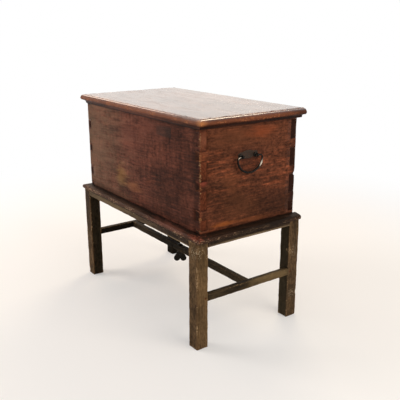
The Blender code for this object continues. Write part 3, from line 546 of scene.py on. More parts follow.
@dataclass(frozen=True)
class IronFinish:
    """Iron with its forge scale.

    Attributes:
        name: The metal and how it was made.
        scale: Colour of the black forge scale.
        bright: Colour of rubbed metal.
        rust: Colour of rust in the hollows.
        roughness: Sheen of the scale.
        dent_mm: Size of the hammer marks.
        wax: Weight of the wax that keeps it from rusting.
    """

    name: str
    scale: str
    bright: str
    rust: str
    roughness: float
    dent_mm: float
    wax: float = 0.0

    def material(self, piece: str = "", spots: tuple[ToneSpot, ...] = ()) -> bpy.types.Material:
        """Make the iron, once for all the pieces that have no spots of their own.

        Args:
            piece: Name of a piece with spots of its own.
            spots: Painted glints, on places that are rubbed bright.

        Returns:
            The material.
        """
        name = f"{self.name}.{piece}" if spots else self.name
        existing = bpy.data.materials.get(name)
        if existing:
            return existing
        material = bpy.data.materials.new(name)
        tree = emptied(material)
        add = partial(add_node, tree)
        where = add("ShaderNodeTexCoord", out="Object")
        dent = Pattern((self.dent_mm,) * 3, 1.0).lay(tree, where)
        grit = Pattern((0.9, 0.9, 0.9), 4.0, 0.7).lay(tree, where)
        rust = Pattern((7, 7, 7), 5.0, 0.7, (0.52, 0.66)).lay(tree, where)
        worn = add("ShaderNodeAttribute", out="Fac", attribute_name="worn")
        rubbed = add(Step.PLUS, (worn, weighted(tree, -0.6, (grit, 1.2))))
        rubbed = add(Step.FADE_IN, (rubbed, 0.36, 0.66))
        rust = add(Step.TIMES, (rust, 0.6))
        color = layered(tree, self.scale, (rust, self.rust), (rubbed, self.bright))
        for spot in spots:
            color = spot.over(tree, where, color, grit)
        rough = weighted(tree, self.roughness - 0.11, (grit, 0.22))
        rough = add(Step.TIMES_PLUS, (rubbed, -0.14, rough), use_clamp=True)
        height = weighted(tree, dent, (grit, 0.15))
        end_material(tree, {"Height": height, "Distance": 0.0008, "Strength": 0.45},
                     {"Base Color": color, "Roughness": rough, "Metallic": 0.85, "Coat Weight": self.wax,
                      "Coat Roughness": 0.16})
        return material


# Straight-grained dark mahogany under many coats of wax: near black in the hollows, plum on the flats
FRONT_WOOD = WoodFinish("dark_waxed_mahogany", "2E1A14", "6C3E30", "864C36", 0.25, "A8845F", "6A4C36",
                        "6A3824", 9.0, 0.45, 0.03, chatter=0.40, speckle=0.7, chips=0.6)
# Figured mahogany with orange flames that the wax brings up
END_WOOD = WoodFinish("figured_waxed_mahogany", "3E2418", "6A3D2A", "965236", 0.50, "A8764C", "6A4C36",
                      "26140F", 8.0, 0.45, 0.04, soil=0.26, speckle=0.9, chatter=0.12)
# The lid has a hard shellac polish that mirrors the room
LID_WOOD = WoodFinish("shellac_polished_mahogany", "4A3026", "7E5844", "8E6048", 0.3, "B98F74", "6A4C36",
                      "3A2419", 10.0, 0.30, 0.4, coat=0.85, coat_roughness=0.12, smudge=0.3, speckle=0.2,
                      chips=0.0)
# The stand is a drier, greyer wood with dirt ground in; the near black on the faces that look inward is
# painted shade from under the chest
STAND_WOOD = WoodFinish("dry_stained_oak", "32261A", "6C543A", "806044", 0.3, "A88C6A", "2E281D", "32261A",
                        5.0, 0.55, 0.04, bump=0.00025, soil=0.45, speckle=0.9, chips=0.45)
# The rails are dark with old stain under fine pale scuffs; their inward faces get painted shade
RAIL_WOOD = WoodFinish("scuffed_stained_oak", "1F1813", "44352A", "5C4838", 0.3, "AC9274", "282219", "241C15",
                       5.0, 0.55, 0.04, bump=0.00025, soil=0.3, speckle=0.9, chips=0.35)
# The stretchers are darker than the legs, with old stain and painted shade from lying under the chest
STRETCHER_WOOD = WoodFinish("stained_oak", "241D15", "4A3D2C", "5A4833", 0.3, "8A7050", "1E1912", "2C231A",
                            5.0, 0.55, 0.04, bump=0.00025, soil=0.45, speckle=0.8, chips=0.25)
# The back was waxed but never figured
BACK_WOOD = WoodFinish("plain_waxed_mahogany", "2C1A13", "55362A", "63402F", 0.2, "86664F", "6A4C36",
                       "2A1811", 9.0, 0.50, 0.05, soil=0.45, chatter=0.2)
# Old repairs of a darker, denser wood
PATCH_WOOD = WoodFinish("let_in_dark_mahogany", "20120D", "40271D", "4A2D20", 0.2, "6E5040", "6A4C36",
                        "24140F", 6.0, 0.44, 0.05)
# The lid's moulded edge: the same polish, rubbed through to orange wood
LID_EDGE_WOOD = WoodFinish("shellac_rubbed_mahogany", "32190F", "6A3A28", "8A4E34", 0.35, "B07048", "6A4C36",
                           "341C12", 7.0, 0.36, 0.05, coat_roughness=0.13, top_coat=0.95, chips=0.12)
# The lip that holds the chest: reddish, with pale rubbed chips
LIP_WOOD = WoodFinish("waxed_lip_mahogany", "241710", "4C362A", "6A4836", 0.3, "B89474", "4A3A2A", "2A1710",
                      6.0, 0.46, 0.04, coat=0.03, coat_roughness=0.25, chips=0.22)
# Bottom boards are deal that was never polished
BOTTOM_WOOD = WoodFinish("bare_deal", "6A4A30", "8E6C4A", "9C7A52", 0.3, "A88A60", "8E6C4A", "6A4A30",
                         4.0, 0.65, 0.15, bump=0.00025, chips=0.2)
# Pegs are split oak, reddish where the wax caught them
PEG_WOOD = WoodFinish("split_oak_peg", "4A2C1C", "6A4028", "7A4A30", 0.3, "9A7450", "5A4028", "5A3822",
                      2.0, 0.50, 0.08)
# Blacked wrought iron, hammer marks of 6 mm
WROUGHT_IRON = IronFinish("blacked_wrought_iron", "17140F", "5A544C", "2E1D14", 0.50, 6.0)
# The bails and their posts, waxed and rubbed bright by hands
HANDLED_IRON = IronFinish("waxed_wrought_iron", "0F0C09", "B8AC9A", "26180F", 0.42, 6.0, wax=0.04)
# The plates hold more old wax and rust than the bails, which hands keep clean
PLATE_IRON = IronFinish("waxed_plate_iron", "3A2E26", "7A7064", "4E3222", 0.55, 6.0)
# Cut steel of screws and hinge leaves, brown with age
AGED_STEEL = IronFinish("browned_cut_steel", "2A241E", "6E655C", "3A2418", 0.46, 12.0)


@dataclass(frozen=True)
class Board:
    """One wooden piece and how it was cut, finished and worn.

    Attributes:
        node: The solid that it dresses.
        body: The body that it rides on.
        slot: The record's slot for its finish; not used.
        finish: Its wood.
        grain: Axis of its fibres.
        wear: Where it is rubbed.
        raw_and_shade: Its unpolished face, or on the stand its inward face that gets painted shade.
        depth: How deep the rubbing goes, in metres.
        spots: Places that time has coloured, and places of painted light and shade.
    """

    node: str
    body: str
    slot: str
    finish: WoodFinish
    grain: Grain
    wear: Wear = Wear.EDGES
    raw_and_shade: Side = Side.NONE
    depth: float = 0.0009
    spots: tuple[ToneSpot, ...] = ()


def merged_copy(node: bpy.types.Object, dissolve: bool = True) -> Shape:
    """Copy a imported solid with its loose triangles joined.

    Args:
        node: The solid's object, which is left as it is.
        dissolve: Whether flat faces are joined as well.

    Returns:
        The copy as an open mesh edit.
    """
    shape = bmesh.new()
    shape.from_mesh(node.data)
    bmesh.ops.remove_doubles(shape, verts=shape.verts, dist=MERGE)
    if dissolve:
        bmesh.ops.dissolve_limit(shape, angle_limit=FLAT, verts=shape.verts, edges=shape.edges)
    return shape


def new_object(name: str, mesh: bpy.types.ID | Shape) -> bpy.types.Object:
    """Link an object at the origin, from a mesh or from a mesh edit, which is freed.

    Args:
        name: Name of the object, and of the mesh that an edit becomes.
        mesh: Its mesh or other data, or the mesh edit.

    Returns:
        The object.
    """
    if isinstance(mesh, Shape):
        shape, mesh = mesh, bpy.data.meshes.new(name)
        shape.to_mesh(mesh)
        shape.free()
    linked = bpy.data.objects.new(name, mesh)
    bpy.context.scene.collection.objects.link(linked)
    return linked


def put_object(name: str, shape: Shape, material: bpy.types.Material,
               smooth_degrees: float = 50.0) -> bpy.types.Object:
    """Turn a mesh edit into a finished object at the origin.

    Args:
        name: Name of the object.
        shape: The mesh edit, which is freed.
        material: Its material.
        smooth_degrees: Edges sharper than this stay sharp.

    Returns:
        The object, linked to the scene.
    """
    piece = new_object(name, shape)
    piece.data.materials.append(material)
    piece.data.shade_smooth()
    piece.data.set_sharp_from_angle(angle=math.radians(smooth_degrees))
    return piece


def hand_over(piece: bpy.types.Object, body: str, node: str = "") -> bpy.types.Object:
    """Attach a finished piece to its body, and hide the solid that it replaces, if any.

    Args:
        piece: The finished object.
        body: The body that it rides on.
        node: The solid that it replaces, or nothing.

    Returns:
        The same object.
    """
    if node:
        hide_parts(node)
    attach(piece, body)
    LOG.info("%s: %d faces", piece.name, len(piece.data.polygons))
    return piece


def dress_node(node: bpy.types.Object, material: bpy.types.Material) -> None:
    """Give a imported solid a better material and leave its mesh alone.

    Args:
        node: The solid.
        material: Its new material.
    """
    for slot in node.material_slots:
        slot.material = material
    if not node.material_slots:
        node.data.materials.append(material)
    LOG.info("%s: finished as packed", node.name)


def endless_box(name: str, grain: Grain) -> tuple[Vector, Vector]:
    """Box of a solid without its ends, so that only the edges along the grain are rubbed.

    Args:
        name: Name of the solid.
        grain: Axis of its fibres.

    Returns:
        Lowest and highest corner.
    """
    low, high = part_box(name)
    low[grain.value[0]], high[grain.value[0]] = -FAR, FAR
    return low, high


def spaced(low: float, high: float, count: int) -> list[float]:
    """Evenly spaced numbers from low to high."""
    return [low + (high - low) * i / (count - 1) for i in range(count)]


def slice_positions(low: float, high: float, fine: tuple[float, ...], coarse: float) -> list[float]:
    """Places to cut between two faces: close by each face, and then evenly.

    Args:
        low: The lower face.
        high: The upper face.
        fine: Distances from each face.
        coarse: Spacing between them.

    Returns:
        Sorted positions.
    """
    span = high - low
    steps = [step for step in fine if step < span / 2.2]
    count = int(span / coarse)
    places = [low + step for step in steps] + [high - step for step in steps]
    places += [low + span * (i + 1) / (count + 1) for i in range(count)]
    return sorted({round(place, 6) for place in places})


def slice_mesh(shape: Shape, low: Vector, high: Vector, fine: tuple[float, ...], coarse: float) -> None:
    """Cut a mesh by planes across each axis, so that its edges can be worn.

    Args:
        shape: The mesh edit.
        low: Lowest corner of the piece.
        high: Highest corner of the piece.
        fine: Distances from each face at which it is cut.
        coarse: Spacing of the other cuts.
    """
    for axis, normal in enumerate(AXES):
        for place in slice_positions(low[axis], high[axis], fine, coarse):
            whole = shape.verts[:] + shape.edges[:] + shape.faces[:]
            bmesh.ops.bisect_plane(shape, geom=whole, dist=ON_CUT, plane_co=normal * place, plane_no=normal)


@dataclass(frozen=True)
class Chip:
    """A place where a bit of wood broke off.

    Attributes:
        place: Its middle.
        radius: How far it reaches.
        depth: How deep it is in the middle.
        around: How far from its middle the mesh is cut finely.
        cuts: Shares of the radius at which it is cut.
    """

    place: Point
    radius: float
    depth: float
    around: float = 0.06
    cuts: tuple[float, ...] = (-1.0, -0.66, -0.33, 0.0, 0.33, 0.66, 1.0)

    def slice(self, shape: Shape) -> None:
        """Cut the mesh finely where the chip is.

        Args:
            shape: The mesh edit of the board.
        """
        middle = Vector(self.place)
        for normal in AXES:
            for step in self.cuts:
                near = [face for face in shape.faces
                        if (face.calc_center_median() - middle).length < self.around]
                parts = set(near)
                for face in near:
                    parts.update(face.edges)
                    parts.update(face.verts)
                bmesh.ops.bisect_plane(shape, geom=list(parts), dist=ON_CUT,
                                       plane_co=middle + normal * (step * self.radius), plane_no=normal)

    def share(self, point: Vector) -> float:
        """How much of the full depth is gone at a point.

        Args:
            point: The point.

        Returns:
            A share from 0 to 1.
        """
        away = point - Vector(self.place)
        ragged = 1.0 + 0.35 * noise.noise(point * 260.0)
        gone = 1.0 - away.length * ragged / self.radius
        return math.sqrt(gone) if gone > 0.0 else 0.0


@dataclass
class WornWood:
    """Makes the worn copy of a wooden solid.

    Attributes:
        frame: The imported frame.
        edge_width: How far from an edge the rubbing reaches.
        fine: Distances from each face at which a board is cut, so that its edges can be worn.
        waves: Long and short waves of a rubbed edge, per metre.
    """

    frame: dict[str, Any]
    edge_width: float = 0.0065
    fine: tuple[float, ...] = (0.0008, 0.0025, 0.006)
    waves: tuple[float, float] = (55.0, 190.0)

    def closeness(self, point: Vector, low: Vector, high: Vector, rule: Wear) -> tuple[float, Vector]:
        """How near a point is to where hands rub.

        Args:
            point: The point.
            low: Lowest corner of the box whose edges are rubbed.
            high: Highest corner of that box.
            rule: Which places are rubbed.

        Returns:
            A share from 0 to 1, and the direction out of the wood there.
        """
        gaps = []
        for axis in range(3):
            down, up = point[axis] - low[axis], high[axis] - point[axis]
            gaps.append((min(down, up), axis, -1.0 if down < up else 1.0))
        used = sorted(gaps)[:1 if rule is Wear.NOSE else 2]
        outward = Vector((0.0, 0.0, 0.0))
        for _, axis, sign in used:
            outward[axis] = sign
        return max(0.0, 1.0 - max(0.0, used[-1][0]) / self.edge_width), outward.normalized()

    def make(self, board: Board, low: Vector, high: Vector, coarse: float = 0.022,
             chips: tuple[Chip, ...] = ()) -> bpy.types.Object:
        """Build one worn piece.

        Args:
            board: What to build.
            low: Lowest corner of the box whose edges are rubbed.
            high: Highest corner of that box.
            coarse: Spacing of the cuts away from the edges.
            chips: Places where wood broke off.

        Returns:
            The finished object, which replaces the solid.
        """
        own_low, own_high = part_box(board.node)
        shape = merged_copy(self.frame["nodes"][board.node])
        slice_mesh(shape, own_low, own_high, self.fine, coarse)
        for chip in chips:
            chip.slice(shape)
        layer = shape.verts.layers.float.new("worn")
        # A number of the piece's own, so that no two boards match
        seed = sum(ord(letter) * (i + 3) for i, letter in enumerate(board.node)) % 89 * 0.37
        shift = Vector((seed, 0.0, 0.0))
        for vertex in shape.verts:
            near, outward = self.closeness(vertex.co, low, high, board.wear)
            if board.wear is Wear.HIDDEN:
                near = 0.0
            cut = 0.0
            if near > 0.0:
                long, short = (noise.noise(vertex.co * wave + shift) for wave in self.waves)
                rough = long + 0.6 * short
                cut = board.depth * near * near * min(1.5, max(0.0, 0.35 + rough))
            for chip in chips:
                broken = chip.share(vertex.co)
                cut = max(cut, chip.depth * broken)
                near = max(near, min(1.0, broken * 1.2))
            vertex[layer] = near
            vertex.co -= outward * cut
        shape.normal_update()
        wood = board.finish.material(board.node, board.grain, board.raw_and_shade, (own_low + own_high) / 2, seed,
                                     board.spots)
        return hand_over(put_object(f"{board.node}_worn", shape, wood), board.body, board.node)


@dataclass(frozen=True)
class Forging:
    """One iron piece and how it was hammered.

    Attributes:
        node: The solid that it dresses.
        body: The body that it rides on.
        voxel: Size of its mesh faces.
        dent: Depth of the hammer marks.
        finish: Its iron.
        spots: Painted glints, on places that are rubbed bright.
    """

    node: str
    body: str
    voxel: float = 0.0006
    dent: float = 0.00016
    finish: IronFinish = WROUGHT_IRON
    spots: tuple[ToneSpot, ...] = ()


@dataclass
class Smith:
    """Makes the hammered copy of an iron solid.

    Attributes:
        frame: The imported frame.
        keen: How readily a ridge is rubbed.
        marks: Hammer marks and scale pits, per metre.
        passes: How often the mesh is smoothed.
    """

    frame: dict[str, Any]
    keen: float = 3.6
    marks: tuple[float, float] = (170.0, 520.0)
    passes: int = 2

    def remeshed(self, forging: Forging) -> Shape:
        """Give a solid an even mesh of small faces.

        Args:
            forging: The piece, which names its solid and the size of the faces.

        Returns:
            The mesh edit.
        """
        holder = new_object("iron_blank", merged_copy(self.frame["nodes"][forging.node], dissolve=False))
        remesh = holder.modifiers.new("even_faces", "REMESH")
        remesh.mode = "VOXEL"
        remesh.voxel_size = forging.voxel
        shape = bmesh.new()
        shape.from_mesh(holder.evaluated_get(bpy.context.evaluated_depsgraph_get()).data)
        bpy.data.objects.remove(holder)
        return shape

    def make(self, forging: Forging) -> bpy.types.Object:
        """Build one hammered piece.

        Args:
            forging: What to build.

        Returns:
            The finished object, which replaces the solid.
        """
        shape = self.remeshed(forging)
        for _ in range(self.passes):
            bmesh.ops.smooth_vert(shape, verts=shape.verts, factor=0.5, use_axis_x=True, use_axis_y=True,
                                  use_axis_z=True)
        shape.normal_update()
        layer = shape.verts.layers.float.new("worn")
        moves = []
        for vertex in shape.verts:
            around = [edge.other_vert(vertex).co for edge in vertex.link_edges]
            middle = sum(around, Vector()) / len(around)
            ridge = (vertex.co - middle).dot(vertex.normal) / forging.voxel
            vertex[layer] = min(1.0, max(0.0, ridge * self.keen))
            hammered, pitted = (noise.noise(vertex.co * mark) for mark in self.marks)
            moves.append(vertex.normal * (forging.dent * (hammered + 0.4 * pitted - 0.35)))
        for vertex, move in zip(shape.verts, moves):
            vertex.co += move
        iron = forging.finish.material(forging.node, forging.spots)
        return hand_over(put_object(f"{forging.node}_forged", shape, iron, 70.0), forging.body,
                         forging.node)


class Fasteners:
    """Geometry Nodes trees that set out nails and screws.

    Attributes:
        sink: How deep a nail's head is let in.
        smooth_degrees: Edges sharper than this stay sharp.
        clear: How far outside a moulding the search for its nails starts.
        square_gain: How much nearer to a square end than to a mitre the last nail stands.
    """

    sink: float = 0.00015
    smooth_degrees: float = 40.0
    clear: float = 0.05
    square_gain: float = 0.01

    @staticmethod
    def set_out(tree: Tree, points: Socket, head: Socket, aim: Socket, seed: Socket, swing: float,
                **stretch: Socket) -> Socket:
        """Put a head on each point, turned at random round its aim.

        Args:
            tree: The tree that gets the nodes.
            points: The points.
            head: The head.
            aim: Rotation that lays its axis along the fastener.
            seed: Seed of the random turns.
            swing: Most that a head is turned, in radians.
            **stretch: A Scale for the heads, where they differ.

        Returns:
            The heads.
        """
        turn = add_node(tree, "FunctionNodeRandomValue", {"Min": (0.0, 0.0, -swing), "Max": (0.0, 0.0, swing),
                                                          "Seed": seed}, "Value", data_type="FLOAT_VECTOR")
        turn = add_node(tree, "FunctionNodeEulerToRotation", (turn,))
        both = add_node(tree, "FunctionNodeRotateRotation", {"Rotation": aim, "Rotate By": turn},
                        rotation_space="LOCAL")
        return add_node(tree, "GeometryNodeInstanceOnPoints", {"Points": points, "Instance": head,
                                                               "Rotation": both, **stretch})

    @staticmethod
    def close_tree(tree: Tree, geometry: Socket, metal: Socket) -> Tree:
        """End a tree in real geometry of one metal.

        Args:
            tree: The tree.
            geometry: Its result, with instances.
            metal: The material.

        Returns:
            The same tree.
        """
        real = add_node(tree, "GeometryNodeRealizeInstances", {"Geometry": geometry})
        done = add_node(tree, "GeometryNodeSetMaterial", {"Geometry": real, "Material": metal})
        add_node(tree, "NodeGroupOutput", {"Geometry": done})
        return tree

    @staticmethod
    def nail_tree() -> Tree:
        """Tree that sets a hand-cut nail head on each point, along its "aim".

        Returns:
            The tree.
        """
        tree, given = new_group("cut_nail_heads", "GeometryNodeTree", (("Geometry", "Geometry"),), (
            ("Geometry", "Geometry"), ("Head Length", "Float", 0.0030), ("Head Width", "Float", 0.0019),
            ("Head Height", "Float", 0.0005), ("Seed", "Int", 7), ("Iron", "Material")))
        add = partial(add_node, tree)
        size = add("ShaderNodeCombineXYZ", (given["Head Length"], given["Head Width"], given["Head Height"]))
        head = add("GeometryNodeMeshCube", {"Size": size}, "Mesh")
        smooth = add("GeometryNodeSubdivisionSurface", {"Mesh": head, "Level": 2, "Edge Crease": 0.75})
        aim = add("GeometryNodeInputNamedAttribute", {"Name": "aim"}, "Attribute", data_type="FLOAT_VECTOR")
        aim = add("FunctionNodeAlignRotationToVector", {"Vector": aim}, axis="Z")
        stretch = add("FunctionNodeRandomValue", {
            "Min": (0.85, 0.8, 1.0), "Max": (1.2, 1.25, 1.0), "Seed": given["Seed"]}, "Value",
            data_type="FLOAT_VECTOR")
        heads = Fasteners.set_out(tree, given["Geometry"], smooth, aim, given["Seed"], 0.5, Scale=stretch)
        return Fasteners.close_tree(tree, heads, given["Iron"])

    @staticmethod
    def screw_tree() -> Tree:
        """Tree that sinks a row of slotted screws into the plate that it gets.

        Returns:
            The tree.
        """
        tree, given = new_group("slotted_hinge_screws", "GeometryNodeTree", (("Geometry", "Geometry"),), (
            ("Geometry", "Geometry"), ("Count", "Int", 3), ("Start", "Vector"), ("End", "Vector"),
            ("Facing", "Vector"), ("Head Radius", "Float", 0.0028), ("Head Depth", "Float", 0.0013),
            ("Slot Width", "Float", 0.0007), ("Seed", "Int", 3), ("Steel", "Material")))
        add = partial(add_node, tree)
        radius, depth = given["Head Radius"], given["Head Depth"]
        points = add("GeometryNodeMeshLine", {"Count": given["Count"], "Start Location": given["Start"],
                                              "Offset": given["End"]}, mode="END_POINTS")
        facing = add("FunctionNodeEulerToRotation", (given["Facing"],))
        shank = add(Step.TIMES, (radius, 0.5))

        def sunk(shape: Socket, lower: float) -> Socket:
            """Move a shape down by a head's depth and a little more."""
            down = add("ShaderNodeCombineXYZ", {2: weighted(tree, -lower, (depth, -1.0))})
            return add("GeometryNodeTransform", {"Geometry": shape, "Translation": down})

        rim = add(Step.PLUS, (radius, 0.00012))
        deep = add(Step.PLUS, (depth, 0.0002))
        hole = add("GeometryNodeMeshCone", {"Vertices": 24, "Radius Top": rim, "Radius Bottom": shank,
                                            "Depth": deep}, "Mesh")
        holes = add("GeometryNodeInstanceOnPoints", {"Points": points, "Instance": sunk(hole, 0.0),
                                                     "Rotation": facing})
        holes = add("GeometryNodeRealizeInstances", {"Geometry": holes})
        plate = add("GeometryNodeMeshBoolean", {"Mesh 1": given["Geometry"], "Mesh 2": holes},
                    operation="DIFFERENCE")
        head = add("GeometryNodeMeshCone", {"Vertices": 24, "Radius Top": radius, "Radius Bottom": shank,
                                            "Depth": depth}, "Mesh")
        length = add(Step.TIMES, (radius, 3.0))
        slot = add("ShaderNodeCombineXYZ", (length, given["Slot Width"], depth))
        slot = add("GeometryNodeMeshCube", {"Size": slot}, "Mesh")
        up = add("ShaderNodeCombineXYZ", {2: depth})
        slot = add("GeometryNodeTransform", {"Geometry": slot, "Translation": up})
        slotted = add("GeometryNodeMeshBoolean", {"Mesh 1": head, "Mesh 2": slot}, operation="DIFFERENCE")
        heads = Fasteners.set_out(tree, points, sunk(slotted, 0.00004), facing, given["Seed"], 1.5)
        joined = add("GeometryNodeJoinGeometry", {"Geometry": plate})
        tree.links.new(heads, joined.node.inputs[0])
        return Fasteners.close_tree(tree, joined, given["Steel"])

    @staticmethod
    def grown(name: str, mesh: bpy.types.Mesh | Shape, tree: Tree, **inputs: Any) -> bpy.types.Object:
        """Run a tree on a mesh and keep the result as a plain object.

        Args:
            name: Name of the object.
            mesh: The mesh or mesh edit that the tree gets.
            tree: The tree.
            **inputs: The tree's inputs, by label with underscores for spaces.

        Returns:
            The object, without a modifier.
        """
        holder = new_object(name + "_holder", mesh)
        modifier = holder.modifiers.new("fasteners", "NODES")
        modifier.node_group = tree
        identifiers = {item.name: item.identifier for item in tree.interface.items_tree
                       if item.in_out == "INPUT"}
        for label, value in inputs.items():
            modifier[identifiers[label.replace("_", " ")]] = value
        evaluated = holder.evaluated_get(bpy.context.evaluated_depsgraph_get())
        result = bpy.data.meshes.new_from_object(evaluated)
        result.name = name
        bpy.data.objects.remove(holder)
        result.shade_smooth()
        result.set_sharp_from_angle(angle=math.radians(Fasteners.smooth_degrees))
        return new_object(name, result)

    @staticmethod
    def nails(name: str, body: str, places: list[tuple[Vector, Vector]], seed: int) -> bpy.types.Object:
        """Drive nails, a hair proud, at places with their outward directions.

        Args:
            name: Name of the nails.
            body: The body that they ride on.
            places: Places on the surface with their outward directions.
            seed: Seed of the heads' random turns.

        Returns:
            The nails as one object.
        """
        mesh = bpy.data.meshes.new(name + "_places")
        mesh.from_pydata([tuple(place - aim * Fasteners.sink) for place, aim in places], [], [])
        aims = mesh.attributes.new("aim", "FLOAT_VECTOR", "POINT")
        aims.data.foreach_set("vector", [number for _, aim in places for number in aim])
        piece = Fasteners.grown(name, mesh, Fasteners.nail_tree(), Seed=seed, Iron=WROUGHT_IRON.material())
        return hand_over(piece, body)

    @staticmethod
    def nail_mouldings(frame: dict[str, Any], part: str, name: str, share: float, margin: float,
                       seed: int) -> bpy.types.Object:
        """Nail the front and end mouldings of the lid or the stand.

        Args:
            frame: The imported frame.
            part: The mouldings' part, "lid" or "stand", which is also their body.
            name: Name of the nails.
            share: Height of the nails as a share of the moulding's.
            margin: Distance of the outer nails from the mitres.
            seed: Seed of the heads' random turns.

        Returns:
            The nails as one object.
        """
        places = []
        bottom, top = (corner.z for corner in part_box(f"{part}_front_moulding"))
        level = bottom + (top - bottom) * share
        for side, sign, count in (("front", 0, 6), ("left", -1, 4), ("right", 1, 4)):
            node = frame["nodes"][f"{part}_{side}_moulding"]
            low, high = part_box(node.name)
            if side == "front":
                across = spaced(low.x + margin, high.x - margin, count)
                starts = [Vector((x, low.y - Fasteners.clear, level)) for x in across]
                toward = Vector((0, 1, 0))
            else:
                across = spaced(low.y + margin, high.y - margin + Fasteners.square_gain, count)
                outside = high.x + Fasteners.clear if side == "right" else low.x - Fasteners.clear
                starts = [Vector((outside, y, level)) for y in across]
                toward = Vector((-sign, 0, 0))
            places += surface_points(node, starts, toward)
        return Fasteners.nails(name, part, places, seed)


def surface_points(node: bpy.types.Object, starts: list[Vector],
                   toward: Vector) -> list[tuple[Vector, Vector]]:
    """Find where straight lines meet a solid.

    Args:
        node: The solid.
        starts: Points outside it.
        toward: Direction of the lines.

    Returns:
        The places and their outward directions.
    """
    tree = BVHTree.FromPolygons([v.co for v in node.data.vertices],
                                [tuple(p.vertices) for p in node.data.polygons])
    hits = [tree.ray_cast(start, toward)[:2] for start in starts]
    return [(place, normal) for place, normal in hits if place is not None]


